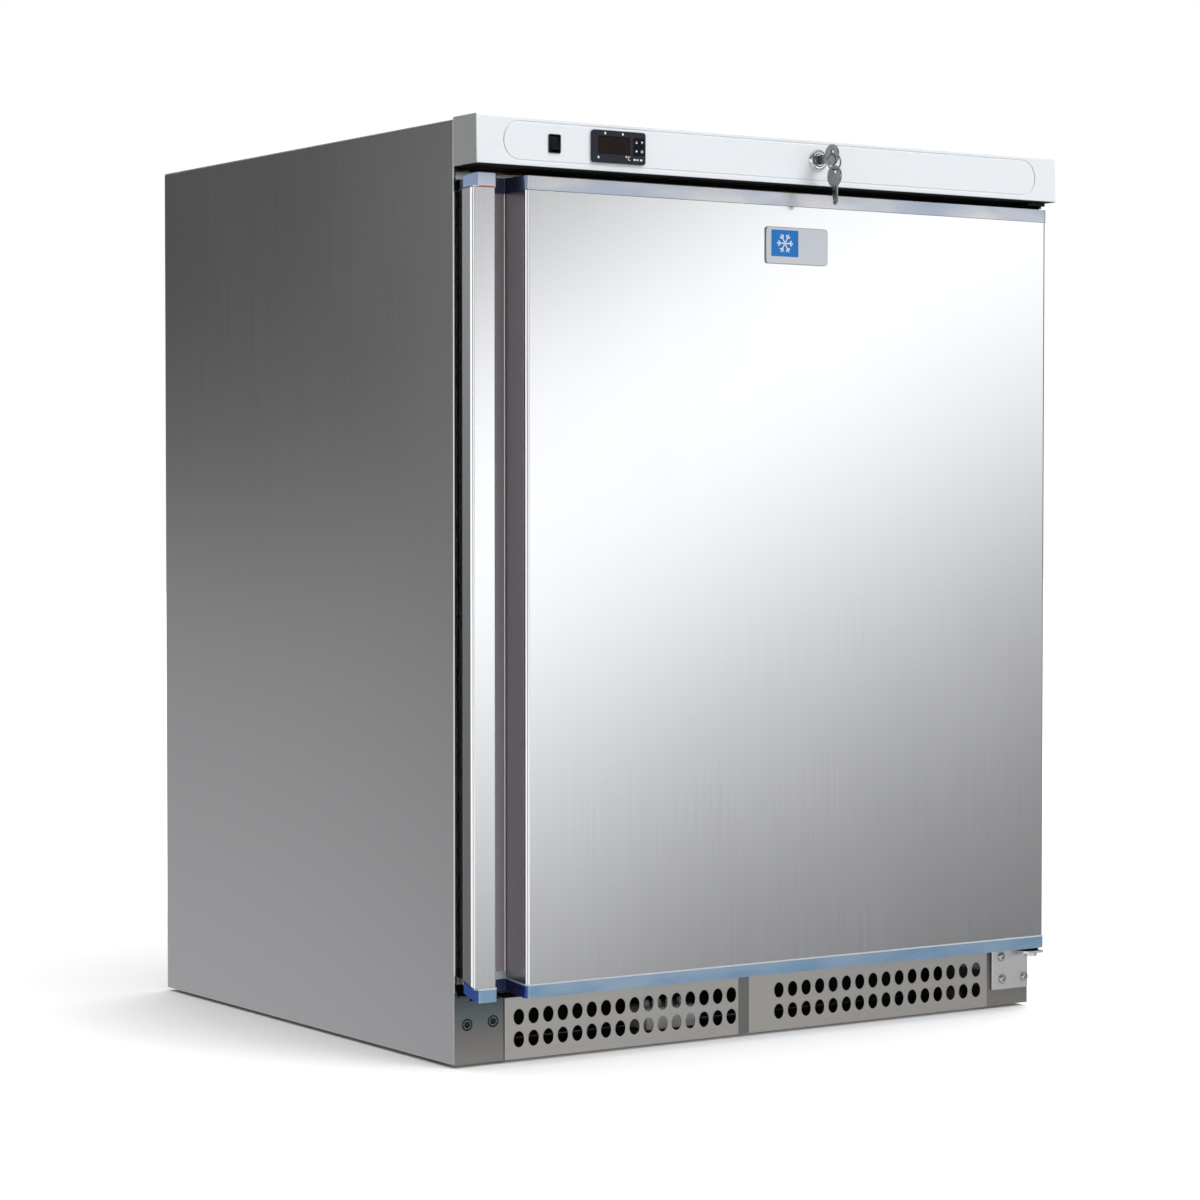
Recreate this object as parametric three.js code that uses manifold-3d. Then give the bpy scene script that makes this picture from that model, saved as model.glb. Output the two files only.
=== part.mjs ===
// Undercounter refrigerator with one solid door hinged on the right.
// Millimetres, +Z up, +X to the right and +Y to the back. The origin is the centre of the base.
import * as THREE from "three";
import { mergeVertices } from "three/addons/utils/BufferGeometryUtils.js";
import Module from "manifold-3d";

const wasm = await Module();
wasm.setup();

// ---- Driving dimensions. Y = 0 is the front edge of the cabinet until the last lines. ----
const WIDTH = 654;
const HALF = WIDTH / 2;
const HEIGHT = 820;
const DEPTH = 556; // cabinet without its door
const SHEET = 1;
const GAP = 0.3; // left between pieces that touch
const FOOT_GAP = 3; // floor to the lowest sheet edge

const HEM_WIDTH = 2.5; // folded front edge of the side panels
const HEM_DEPTH = 14;
const FRAME_Y = 20; // the sealing frame is set back behind the front edges
const WALL = 45; // insulated walls, sheet to liner
const BACK_PANEL_Y = 526;
const FLOOR_Z = 60; // underside of the insulated floor

const LINER_WALL = 2.5;
const CAVITY_X = HALF - WALL - LINER_WALL;
const CAVITY_BACK = 479.5;
const CAVITY_BOTTOM = 105;
const CAVITY_TOP = 735;
const STEP_Y = 330; // the liner steps over the machine bay
const STEP_Z = 330;
const BAY_Y = 366;
const BAY_TOP = 296;

const DOOR_FRONT = -28;
const DOOR_BACK = 11;
const DOOR_BOTTOM = 60;
const DOOR_TOP = 774.5;
const BOTTOM_CAP_TOP = 71;
const TOP_CAP_BOTTOM = 761;
const DOOR_SHEET = 0.8;
const GRIP_LEFT = -301.3; // the full-height finger recess beside the handle strip
const GRIP_RIGHT = -270.5;
const GRIP_BOTTOM = 5.5;

const HINGE_X = 318;
const HINGE_Y = -16;
const PIN_R = 4;
const BUSH_BORE_R = 4.3;
const BUSH_R = 5.6;
const BUSH_FLANGE_R = 8;

const FASCIA_FRONT = -38.5;
const FASCIA_BACK = -0.5;
const FASCIA_BOTTOM = 780;
const FASCIA_TOP = 822;
const FASCIA_WALL = 2.5;
const PANEL_Z = 801; // middle height of the controls

const LOCK_X = 38.6;
const LOCK_Z = 803;
const KEY_BOW_Y = -59.5;
const KEY_BOW_R = 10;

const SHELF_LEVELS = [335, 470, 605];
const SHELF_FRONT = 45;
const SHELF_BACK = 420;
const SHELF_HALF = 276;
const SHELF_THICK = 6;
const LEDGE = 10; // width and height of the moulded ledges that carry the shelves

const FAN_Z = 658;
const FAN_R = 50;

// ---- Solids: three.js geometries, joined and cut where a piece needs it ----
function toSolid(geometry) {
  const bare = geometry.clone();
  for (const name of Object.keys(bare.attributes)) {
    if (name !== "position") bare.deleteAttribute(name);
  }
  const merged = mergeVertices(bare, 1e-4);
  return new wasm.Manifold(
    new wasm.Mesh({
      numProp: 3,
      vertProperties: merged.attributes.position.array,
      triVerts: new Uint32Array(merged.index.array),
    }),
  );
}

function fromSolid(solid) {
  const mesh = solid.getMesh();
  const indexed = new THREE.BufferGeometry();
  indexed.setAttribute("position", new THREE.BufferAttribute(mesh.vertProperties, 3));
  indexed.setIndex(new THREE.BufferAttribute(mesh.triVerts, 1));
  const flat = indexed.toNonIndexed();
  flat.computeVertexNormals();
  return flat;
}

function join(...geometries) {
  return fromSolid(geometries.map(toSolid).reduce((a, b) => a.add(b)));
}

function cut(geometry, ...tools) {
  return fromSolid(tools.map(toSolid).reduce((a, b) => a.subtract(b), toSolid(geometry)));
}

function box([x0, x1], [y0, y1], [z0, z1]) {
  return new THREE.BoxGeometry(x1 - x0, y1 - y0, z1 - z0).translate(
    (x0 + x1) / 2,
    (y0 + y1) / 2,
    (z0 + z1) / 2,
  );
}

// An outline with round holes or other outlines cut in it, pushed out along one axis.
function slab(outline, holes, length) {
  const shape = new THREE.Shape(outline);
  shape.holes = holes.map((hole) => new THREE.Path(hole));
  return new THREE.ExtrudeGeometry(shape, { depth: length, bevelEnabled: false, steps: 1 });
}

const alongZ = (outline, [z0, z1], holes = []) =>
  slab(outline, holes, z1 - z0).translate(0, 0, z0);
const alongY = (outline, [y0, y1], holes = []) =>
  slab(outline, holes, y1 - y0).rotateX(Math.PI / 2).translate(0, y1, 0);
const X_FORWARD = new THREE.Matrix4().makeBasis(
  new THREE.Vector3(0, 1, 0),
  new THREE.Vector3(0, 0, 1),
  new THREE.Vector3(1, 0, 0),
);
const alongX = (outline, [x0, x1], holes = []) =>
  slab(outline, holes, x1 - x0).applyMatrix4(X_FORWARD).translate(x0, 0, 0);

const point = (x, y) => new THREE.Vector2(x, y);
const points = (list) => list.map(([x, y]) => point(x, y));

function circle(x, y, radius, sides = 24) {
  return Array.from({ length: sides }, (_, i) => {
    const angle = (2 * Math.PI * i) / sides;
    return point(x + radius * Math.cos(angle), y + radius * Math.sin(angle));
  });
}

function ellipse(x, y, radiusX, radiusY, sides) {
  return circle(0, 0, 1, sides).map((p) => point(x + radiusX * p.x, y + radiusY * p.y));
}

function roundedRectangle(x0, x1, y0, y1, radius, steps = 4) {
  const corners = [
    [x1 - radius, y1 - radius, 0],
    [x0 + radius, y1 - radius, 1],
    [x0 + radius, y0 + radius, 2],
    [x1 - radius, y0 + radius, 3],
  ];
  return corners.flatMap(([cx, cy, quarter]) =>
    Array.from({ length: steps + 1 }, (_, i) => {
      const angle = (Math.PI / 2) * (quarter + i / steps);
      return point(cx + radius * Math.cos(angle), cy + radius * Math.sin(angle));
    }),
  );
}

// A profile turned about +Y, or about +Z; it starts and ends on the axis, or closes on itself.
function turned(profile, sides, axis, [x, y, z]) {
  const outline = points(profile);
  if (THREE.ShapeUtils.area(outline) < 0) outline.reverse();
  if (outline[0].x > 0) outline.push(outline[0].clone());
  const body = new THREE.LatheGeometry(outline, sides);
  if (axis === "z") body.rotateX(Math.PI / 2);
  return body.translate(x, y, z);
}

// A ring or sleeve about the axis between two radii and two heights.
const sleeve = (inner, outer, [low, high], sides, axis, place) =>
  turned([[inner, low], [outer, low], [outer, high], [inner, high]], sides, axis, place);

// ---- Bent sheet: a path of corners [x, y, radius], moved sideways by an offset ----
function offsetCorners(corners, offset) {
  const lines = corners.slice(1).map(([x, y], i) => {
    const [px, py] = corners[i];
    const length = Math.hypot(x - px, y - py);
    const direction = point((x - px) / length, (y - py) / length);
    const normal = point(-direction.y, direction.x);
    return { start: point(px, py).addScaledVector(normal, offset), direction, normal };
  });
  return corners.map(([x, y, radius], i) => {
    const before = lines[i - 1];
    const after = lines[i];
    if (!before || !after) {
      const end = point(x, y).addScaledVector((before ?? after).normal, offset);
      return [end.x, end.y, 0];
    }
    const turn = before.direction.cross(after.direction);
    const between = after.start.clone().sub(before.start);
    const along = between.cross(after.direction) / turn;
    const meet = before.start.clone().addScaledVector(before.direction, along);
    return [meet.x, meet.y, Math.max(radius - Math.sign(turn) * offset, 0.05)];
  });
}

function filleted(corners, steps = 4) {
  return corners.flatMap(([x, y, radius], i) => {
    if (i === 0 || i === corners.length - 1) return [point(x, y)];
    const here = point(x, y);
    const back = point(corners[i - 1][0], corners[i - 1][1]).sub(here).normalize();
    const on = point(corners[i + 1][0], corners[i + 1][1]).sub(here).normalize();
    const half = Math.acos(THREE.MathUtils.clamp(back.dot(on), -1, 1)) / 2;
    const centre = here
      .clone()
      .addScaledVector(back.clone().add(on).normalize(), radius / Math.sin(half));
    const first = here.clone().addScaledVector(back, radius / Math.tan(half)).sub(centre);
    const last = here.clone().addScaledVector(on, radius / Math.tan(half)).sub(centre);
    const sweep = Math.atan2(first.cross(last), first.dot(last));
    return Array.from({ length: steps + 1 }, (_, k) =>
      first.clone().rotateAround(point(0, 0), (sweep * k) / steps).add(centre),
    );
  });
}

// ---- Materials ----
const finish = (color, roughness, metalness = 0) =>
  new THREE.MeshStandardMaterial({ color, roughness, metalness });
const STAINLESS = finish(0xb8babd, 0.35, 1);
const DARK_STAINLESS = finish(0x7c8082, 0.4, 1);
const GALVANISED = finish(0x9da2a5, 0.5, 1);
const PLATED = finish(0xc9cccf, 0.25, 1);
const CHROME = finish(0xd9dcdf, 0.08, 1);
const COPPER = finish(0xb8734a, 0.35, 1);
const ALUMINIUM = finish(0xc4c7ca, 0.4, 1);
const BLACK_STEEL = finish(0x15161a, 0.45, 0.3);
const FASCIA_PLASTIC = finish(0xe4e9ee, 0.35);
const WHITE_PLASTIC = finish(0xf1f2f2, 0.35);
const BLUE_PLASTIC = finish(0x3f66b0, 0.3);
const BLACK_PLASTIC = finish(0x17171a, 0.4);
const LENS = finish(0x1c0f0c, 0.12);
const RUBBER = finish(0x2a2b2d, 0.7);
const GASKET = finish(0x8f9294, 0.6);
const FOAM = finish(0xd9c893, 0.9);
const BADGE = finish(0xb9c3cb, 0.3, 0.4);
const SHELF_COAT = finish(0xd8dbdd, 0.4);

// ---- Cabinet ----
function sidePanel(side) {
  const x = (distance) => side * (HALF - distance);
  const flange = 12;
  const outline = points([
    [x(0), 0],
    [x(HEM_WIDTH), 0],
    [x(HEM_WIDTH), HEM_DEPTH],
    [x(SHEET), HEM_DEPTH],
    [x(SHEET), DEPTH - SHEET],
    [x(flange), DEPTH - SHEET],
    [x(flange), DEPTH],
    [x(0), DEPTH],
  ]);
  return alongZ(outline, [FOOT_GAP, HEIGHT - SHEET - 0.2]);
}

function topPanel() {
  const front = HALF - HEM_WIDTH - 0.5;
  return join(
    box([-HALF, HALF], [0, DEPTH], [HEIGHT - SHEET, HEIGHT]),
    box([-front, front], [0, SHEET], [FASCIA_BOTTOM + 6, HEIGHT - SHEET / 2]),
  );
}

const INSIDE = HALF - SHEET - GAP; // half width between the side panels

const backPanel = () =>
  box([-INSIDE, INSIDE], [BACK_PANEL_Y, BACK_PANEL_Y + SHEET], [BAY_TOP, HEIGHT - SHEET - GAP]);

function cabinetFoam() {
  const body = box(
    [-INSIDE, INSIDE],
    [FRAME_Y + SHEET + GAP, BACK_PANEL_Y - GAP],
    [FLOOR_Z, HEIGHT - SHEET - GAP],
  );
  const bay = box([-HALF, HALF], [BAY_Y - SHEET - GAP, DEPTH], [0, BAY_TOP]);
  const room = LINER_WALL + GAP;
  const upper = box(
    [-CAVITY_X - room, CAVITY_X + room],
    [0, CAVITY_BACK + room],
    [STEP_Z - room, CAVITY_TOP + room],
  );
  const lower = box(
    [-CAVITY_X - room, CAVITY_X + room],
    [0, STEP_Y + room],
    [CAVITY_BOTTOM - room, STEP_Z],
  );
  return cut(body, bay, upper, lower);
}

// The space inside the liner, or the liner's outside, grown by its wall.
function steppedRoom(grow, front) {
  const across = [-CAVITY_X - grow, CAVITY_X + grow];
  return join(
    box(across, [front, CAVITY_BACK + grow], [STEP_Z - grow, CAVITY_TOP + grow]),
    box(across, [front, STEP_Y + grow], [CAVITY_BOTTOM - grow, STEP_Z + 1]),
  );
}

function innerLiner() {
  const front = FRAME_Y + SHEET + GAP;
  const walls = cut(steppedRoom(LINER_WALL, front), steppedRoom(0, front - 1));
  const ledges = SHELF_LEVELS.flatMap((level) => {
    const back = level - LEDGE < STEP_Z ? STEP_Y + 1 : SHELF_BACK - 5;
    return [-1, 1].map((side) => {
      const across = [side * (CAVITY_X - LEDGE), side * (CAVITY_X + 1)].sort((a, b) => a - b);
      return box(across, [SHELF_FRONT + 15, back], [level - LEDGE, level - GAP]);
    });
  });
  return join(walls, ...ledges);
}

function frontFrame() {
  const outer = HALF - HEM_WIDTH - GAP;
  const outline = points([[-outer, 62], [outer, 62], [outer, 778], [-outer, 778]]);
  const opening = roundedRectangle(-CAVITY_X, CAVITY_X, CAVITY_BOTTOM, CAVITY_TOP, 4, 2);
  return alongY(outline, [FRAME_Y, FRAME_Y + SHEET], [opening]);
}

// Bent sheet that is the underside of the floor and the lining of the machine bay.
function machineBayPanel() {
  const under = FLOOR_Z - GAP;
  const roof = BAY_TOP - GAP;
  const wall = BAY_Y - SHEET;
  const front = FRAME_Y + SHEET + GAP;
  const back = BACK_PANEL_Y - GAP;
  const outline = points([
    [front, under - SHEET],
    [wall + SHEET, under - SHEET],
    [wall + SHEET, roof - SHEET],
    [back, roof - SHEET],
    [back, roof],
    [wall, roof],
    [wall, under],
    [front, under],
  ]);
  return alongX(outline, [-INSIDE, INSIDE]);
}

// ---- Base ----
const FEET = [
  ["front_left", -290, 45],
  ["front_right", 290, 45],
  ["rear_left", -290, 515],
  ["rear_right", 290, 515],
];
const TRAY_Z = 8;
const TRAY_TOP = TRAY_Z + 1.5;
const GLAND = { x: 230, y: 547, z: 40 };

function baseTray() {
  const half = HALF - HEM_WIDTH - GAP;
  const edge = 1.5;
  const back = 552;
  const tray = join(
    box([-half, half], [HEM_DEPTH + 2, back], [TRAY_Z, TRAY_TOP]),
    box([-half, -half + edge], [HEM_DEPTH + 2, back], [TRAY_Z, 26]),
    box([half - edge, half], [HEM_DEPTH + 2, back], [TRAY_Z, 26]),
    box([-230, 10], [385, 400], [TRAY_Z, 18]),
    box([-230, 10], [505, 520], [TRAY_Z, 18]),
    box([GLAND.x - 25, GLAND.x + 25], [GLAND.y - 1, GLAND.y + 1], [TRAY_Z, GLAND.z + 20]),
  );
  const stems = FEET.map(([, x, y]) => alongZ(circle(x, y, 5.5, 16), [0, 30]));
  const vent = box([-220, 220], [70, 340], [0, 30]);
  const cable = alongY(circle(GLAND.x, GLAND.z, 8.4, 16), [GLAND.y - 5, GLAND.y + 5]);
  return cut(tray, vent, cable, ...stems);
}

// A levelling foot: a flat disc that turns on its own threaded stem.
const foot = ([, x, y]) =>
  turned(
    [[0, 0], [16, 0], [18, 1.5], [18, 5.5], [11, 7], [4.5, 7], [4.5, 24], [0, 24]],
    24,
    "z",
    [x, y, 0],
  );

const PLINTH_TOP = 58;
const CORNER_INNER_LEFT = -277;
const CORNER_INNER_RIGHT = 275;
const PLATE_Y = [-SHEET - GAP, -GAP];

// The ear beside the door covers the lower end of the side panel's hem.
function cornerPlate(side, inner, holes) {
  const outer = side * HALF;
  const ear = side * (HALF - 2.4);
  const outline = points([
    [outer, FOOT_GAP],
    [inner, FOOT_GAP],
    [inner, PLINTH_TOP],
    [ear, PLINTH_TOP],
    [ear, 66],
    [outer, 66],
  ]);
  const flange = [inner + side * 3, side * (HALF - 5)].sort((a, b) => a - b);
  return join(
    alongY(outline, PLATE_Y, holes),
    box(flange, [PLATE_Y[0] + SHEET / 2, 14], [FOOT_GAP, FOOT_GAP + SHEET]),
  );
}

const HOLE_ROWS = [20.4, 40.2];
const HOLE_GROUPS = [[-262, -31.5], [23, 261]];
const HOLES_ACROSS = 16;
const GRILLE_Y = [-2.6, -1.6];

function grillePanel() {
  const outline = points([
    [CORNER_INNER_LEFT + GAP, FOOT_GAP],
    [CORNER_INNER_RIGHT - GAP, FOOT_GAP],
    [CORNER_INNER_RIGHT - GAP, PLINTH_TOP],
    [CORNER_INNER_LEFT + GAP, PLINTH_TOP],
  ]);
  const holes = HOLE_GROUPS.flatMap(([first, last]) =>
    HOLE_ROWS.flatMap((z) =>
      Array.from({ length: HOLES_ACROSS }, (_, i) => {
        const x = first + ((last - first) * i) / (HOLES_ACROSS - 1);
        return ellipse(x, z, 5.3, 6.9, 8);
      }),
    ),
  );
  const across = [CORNER_INNER_LEFT + GAP, CORNER_INNER_RIGHT - GAP];
  const lap = GRILLE_Y[0] + SHEET / 2;
  return join(
    alongY(outline, GRILLE_Y, holes),
    box(across, [lap, 10], [FOOT_GAP, FOOT_GAP + SHEET]),
    box(across, [lap, 10], [PLINTH_TOP - SHEET, PLINTH_TOP]),
  );
}

// ---- Control fascia ----
const CONTROLLER = { x0: -210.5, x1: -154, z0: 787, z1: 815.3 };
const DISPLAY = { x0: -204, x1: -171, z0: 795, z1: 810 };
const BUTTONS = [
  ["button_up", -164.2, 806.4],
  ["button_down", -158.4, 806.4],
  ["button_set", -164.2, 798.6],
  ["button_defrost", -158.4, 798.6],
];
const BEZEL_Y = [-41.3, FASCIA_FRONT - GAP];
const SWITCH = { x: -248.2, z: 800.5, halfX: 6.1, halfZ: 8.1 };
const SWITCH_PIVOT_Y = -36.5;
const ROCKER_TILT = THREE.MathUtils.degToRad(9);

function obround(x0, x1, z, radius) {
  return roundedRectangle(x0, x1, z - radius, z + radius, radius - 1e-3, 6);
}

function fasciaCover() {
  const inner = HALF - FASCIA_WALL;
  const mid = (FASCIA_FRONT + FASCIA_BACK) / 2;
  const profile = filleted([
    [FASCIA_BACK, FASCIA_TOP, 0],
    [FASCIA_FRONT, FASCIA_TOP, 2],
    [FASCIA_FRONT, FASCIA_BOTTOM, 2],
    [FASCIA_BACK, FASCIA_BOTTOM, 0],
  ]);
  const groove = cut(
    alongY(obround(-300, 300, PANEL_Z, 16.5), [FASCIA_FRONT - 1, FASCIA_FRONT + 0.8]),
    alongY(obround(-298.6, 298.6, PANEL_Z, 15.1), [FASCIA_FRONT - 2, FASCIA_FRONT + 2]),
  );
  const window = box(
    [CONTROLLER.x0 + 1.5, CONTROLLER.x1 - 1.5],
    [FASCIA_FRONT - 1, mid],
    [CONTROLLER.z0 + 1.5, CONTROLLER.z1 - 1.5],
  );
  const switchHole = box(
    [SWITCH.x - SWITCH.halfX + 0.6, SWITCH.x + SWITCH.halfX - 0.6],
    [FASCIA_FRONT - 1, mid],
    [SWITCH.z - SWITCH.halfZ + 0.4, SWITCH.z + SWITCH.halfZ - 0.4],
  );
  return cut(
    alongX(profile, [-HALF, HALF]),
    box([-inner, inner], [FASCIA_FRONT + FASCIA_WALL, 1], [782.3, 819.7]),
    box([-inner, inner], [-12.5, 1], [770, 790]),
    groove,
    window,
    switchHole,
    alongY(circle(LOCK_X, LOCK_Z, 8.4), [FASCIA_FRONT - 1, mid]),
  );
}

const controllerBody = () =>
  box(
    [CONTROLLER.x0 + 2.2, CONTROLLER.x1 - 2.2],
    [FASCIA_FRONT + GAP, -8],
    [CONTROLLER.z0 + 2.2, CONTROLLER.z1 - 2.2],
  );

function controllerBezel() {
  const { x0, x1, z0, z1 } = CONTROLLER;
  const openings = [
    roundedRectangle(DISPLAY.x0, DISPLAY.x1, DISPLAY.z0, DISPLAY.z1, 0.6, 2),
    ...BUTTONS.map(([, x, z]) => roundedRectangle(x - 2.6, x + 2.6, z - 3.5, z + 3.5, 0.6, 2)),
  ];
  return alongY(roundedRectangle(x0, x1, z0, z1, 2.5), BEZEL_Y, openings);
}

const displayLens = () =>
  alongY(
    roundedRectangle(DISPLAY.x0 + GAP, DISPLAY.x1 - GAP, DISPLAY.z0 + GAP, DISPLAY.z1 - GAP, 0.5, 2),
    [BEZEL_Y[0] + 0.4, BEZEL_Y[1] - 0.2],
  );

const button = ([, x, z]) =>
  alongY(roundedRectangle(x - 2.3, x + 2.3, z - 3.2, z + 3.2, 0.6, 2), [BEZEL_Y[0] - 0.5, -39.4]);

function switchHousing() {
  const { x, z, halfX, halfZ } = SWITCH;
  const body = join(
    alongY(roundedRectangle(x - halfX, x + halfX, z - halfZ, z + halfZ, 1, 2), [-40, -38.8]),
    box([x - halfX + 0.9, x + halfX - 0.9], [-39.4, -20], [z - halfZ + 0.7, z + halfZ - 0.7]),
  );
  return cut(body, box([x - 4.6, x + 4.6], [-45, -30], [z - 7.1, z + 7.1]));
}

// The rocker rests with its upper half pressed in.
function switchRocker() {
  const face = points([[-3.6, -6], [-2.6, 0], [-3.6, 6], [2, 4.5], [2, -4.5]]);
  const turnedFace = face.map((p) => p.rotateAround(point(0, 0), -ROCKER_TILT));
  return alongX(turnedFace, [SWITCH.x - 4.2, SWITCH.x + 4.2]).translate(0, SWITCH_PIVOT_Y, SWITCH.z);
}

// ---- Lock: barrel in the fascia, turning plug with its cam, and the key with its ring ----
const PLUG_Y = [-41.2, -12];
const CAM_LENGTH = 34;
const CAM_HALF = 6;
const RING_R = 7.5;
const RING_WIRE_R = 0.75;
const RING_SHIFT = 1.5;
const RING_PLAY = 0.95;
const KEY_BOW_RISE = 3;
const KEY_HOLE = { y: -60.7, z: LOCK_Z + 5.6, radius: 2.7 };

const lockBarrel = () =>
  turned(
    [[5.7, -41], [9, -41], [10.2, -40.2], [10.2, -38.8], [8, -38.8], [8, -14], [5.7, -14]],
    24,
    "y",
    [LOCK_X, 0, LOCK_Z],
  );

const lockPlug = () =>
  cut(
    alongY(circle(LOCK_X, LOCK_Z, 5.3), PLUG_Y),
    box([LOCK_X - 1.4, LOCK_X + 1.4], [PLUG_Y[0] - 1, -17], [LOCK_Z - 4.2, LOCK_Z + 4.2]),
  );

const lockCam = () =>
  alongY(obround(LOCK_X - 7, LOCK_X + CAM_LENGTH, LOCK_Z, CAM_HALF), [-11.7, -9.2]);

function lockKey() {
  const thick = [LOCK_X - 1, LOCK_X + 1];
  const bow = alongX(circle(KEY_BOW_Y, LOCK_Z + KEY_BOW_RISE, KEY_BOW_R, 32), thick);
  const neck = box(thick, [KEY_BOW_Y + 8, -42], [LOCK_Z - 4.2, LOCK_Z + 4.2]);
  const blade = box(thick, [-43, -18], [LOCK_Z - 3.7, LOCK_Z + 3.7]);
  const wide = [LOCK_X - 2, LOCK_X + 2];
  return cut(join(bow, neck, blade), alongX(circle(KEY_HOLE.y, KEY_HOLE.z, KEY_HOLE.radius, 16), wide));
}

// The ring hangs in the key's hole, a little to one side, and slides through it as the key turns.
function keyRing() {
  const wire = circle(RING_R, 0, RING_WIRE_R, 6).map((p) => [p.x, p.y]);
  const top = KEY_HOLE.z - KEY_HOLE.radius + RING_WIRE_R + RING_PLAY;
  return turned(wire, 20, "y", [LOCK_X + RING_SHIFT, KEY_HOLE.y, top - RING_R]);
}

// ---- Door ----
// The section's corners (x, y, fillet radius). The strip left of the grip has a lip along its side.
const doorCorners = (back) => [
  [-319.6, back, 0],
  [-321.8, -9, 3],
  [-326.4, -14.5, 1.2],
  [-WIDTH / 2, DOOR_FRONT, 2],
  [GRIP_LEFT, DOOR_FRONT, 1.5],
  [GRIP_LEFT, GRIP_BOTTOM, 2],
  [GRIP_RIGHT, GRIP_BOTTOM, 1.5],
  [GRIP_RIGHT, DOOR_FRONT, 3],
  [325, DOOR_FRONT, 3],
  [321.5, -6, 5],
  [319.6, back, 0],
];
const SKIN_BACK = 8.6;
const PANEL_FRONT = 9;
const BULGE = { halfX: 262, z0: 118, z1: 722, back: 27, wall: 2.3 };
const INNER_Z = [BOTTOM_CAP_TOP + 0.5, TOP_CAP_BOTTOM - 0.5];

function doorSkin() {
  const outer = doorCorners(SKIN_BACK);
  const inner = offsetCorners(outer, DOOR_SHEET);
  const outline = [...filleted(outer), ...filleted(inner).reverse()];
  return alongZ(outline, [BOTTOM_CAP_TOP + GAP, TOP_CAP_BOTTOM - GAP]);
}

function doorFoam() {
  const outline = filleted(offsetCorners(doorCorners(SKIN_BACK), DOOR_SHEET + GAP));
  const reach = BULGE.wall + GAP;
  return join(
    alongZ(outline, INNER_Z),
    box(
      [-BULGE.halfX + reach, BULGE.halfX - reach],
      [0, BULGE.back - reach],
      [BULGE.z0 + reach, BULGE.z1 - reach],
    ),
  );
}

function doorInnerPanel() {
  const half = 318.5;
  const { halfX, z0, z1, back, wall } = BULGE;
  const raised = alongY(roundedRectangle(-halfX, halfX, z0, z1, 22, 5), [PANEL_FRONT + 1, back]);
  const pocket = box(
    [-halfX + wall, halfX - wall],
    [PANEL_FRONT - 1, back - wall],
    [z0 + wall, z1 - wall],
  );
  return cut(join(box([-half, half], [PANEL_FRONT, DOOR_BACK], INNER_Z), raised), pocket);
}

function doorGasket() {
  const outline = roundedRectangle(-316, 316, 76, 756, 3, 2);
  const inside = roundedRectangle(-300, 300, 92, 740, 3, 2);
  return alongY(outline, [DOOR_BACK + GAP, FRAME_Y - GAP], [inside]);
}

// An end cap stands a little proud of the sheet, with a slanted front left corner, and a thin
// flange of it closes the end of the sheet.
const CAP_PROUD = 0.8;
const CAP_FLANGE = 1.2;

function doorCap(levels, flange, cuts) {
  const followed = offsetCorners(doorCorners(DOOR_BACK), -CAP_PROUD).slice(4);
  const left = [
    [-320.4, DOOR_BACK, 0],
    [-322.6, -8.6, 3],
    [-WIDTH / 2, -13.6, 2],
    [-319.8, DOOR_FRONT - CAP_PROUD, 3],
  ];
  const body = alongZ(filleted([...left, ...followed]), levels);
  const closing = alongZ(filleted(doorCorners(DOOR_BACK)), flange);
  const bore = alongZ(circle(HINGE_X, HINGE_Y, BUSH_R + GAP), [levels[0] - 1, levels[1] + 1]);
  return cut(join(body, closing), bore, ...cuts);
}

const CAM_SLOT = box([LOCK_X - 7.6, LOCK_X + 24], [-12.9, -8], [767.5, DOOR_TOP + 1]);

const doorBadge = () => alongY(roundedRectangle(-13, 57, 708, 741.5, 3), [-30.2, DOOR_FRONT - GAP]);

// ---- Hinges: plates on the cabinet, pins in the plates and bushes in the door's caps ----
const LOWER_LEAF = [54.6, 57];
const UPPER_LEAF = [776.5, 779.2];

function hingePlate(upright, leaf, leafX, holes) {
  const bar = join(upright, box(leafX, [-27, -1.8], leaf));
  const pin = alongZ(circle(HINGE_X, HINGE_Y, PIN_R + 0.4), [leaf[0] - 1, leaf[1] + 1]);
  return cut(bar, pin, ...holes);
}

const LOWER_SCREWS = [[291.5, 50.5], [292.7, 28.8], [320.5, 28.8]];

const lowerHingePlate = () =>
  hingePlate(
    box([280, 325.4], [-4, -1.6], [18.6, LOWER_LEAF[1]]),
    LOWER_LEAF,
    [303, 325.4],
    LOWER_SCREWS.map(([x, z]) => alongY(circle(x, z, 2.7, 12), [-6, 0])),
  );

const upperHingePlate = () =>
  hingePlate(box([285, 323], [-3.2, -0.5], [UPPER_LEAF[0], 812]), UPPER_LEAF, [302, 323.5], [
    alongY(circle(293, 797, 2.7, 12), [-6, 0]),
    alongY(circle(315, 797, 2.7, 12), [-6, 0]),
  ]);

const HINGE_AXIS = [HINGE_X, HINGE_Y, 0];

const lowerHingePin = () =>
  turned(
    [[0, 51], [6.5, 51], [6.5, 54.2], [PIN_R, 54.2], [PIN_R, 70], [0, 70]],
    24,
    "z",
    HINGE_AXIS,
  );

const upperHingePin = () =>
  turned([[0, 764], [PIN_R, 764], [PIN_R, UPPER_LEAF[1]], [0, UPPER_LEAF[1]]], 24, "z", HINGE_AXIS);

// A flanged sleeve: the flange lies between the cap and the leaf.
const hingeBush = (flangeLevels, sleeveLevels) =>
  join(
    sleeve(BUSH_BORE_R, BUSH_FLANGE_R, flangeLevels, 24, "z", HINGE_AXIS),
    sleeve(BUSH_BORE_R, BUSH_R, sleeveLevels, 24, "z", HINGE_AXIS),
  );

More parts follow.
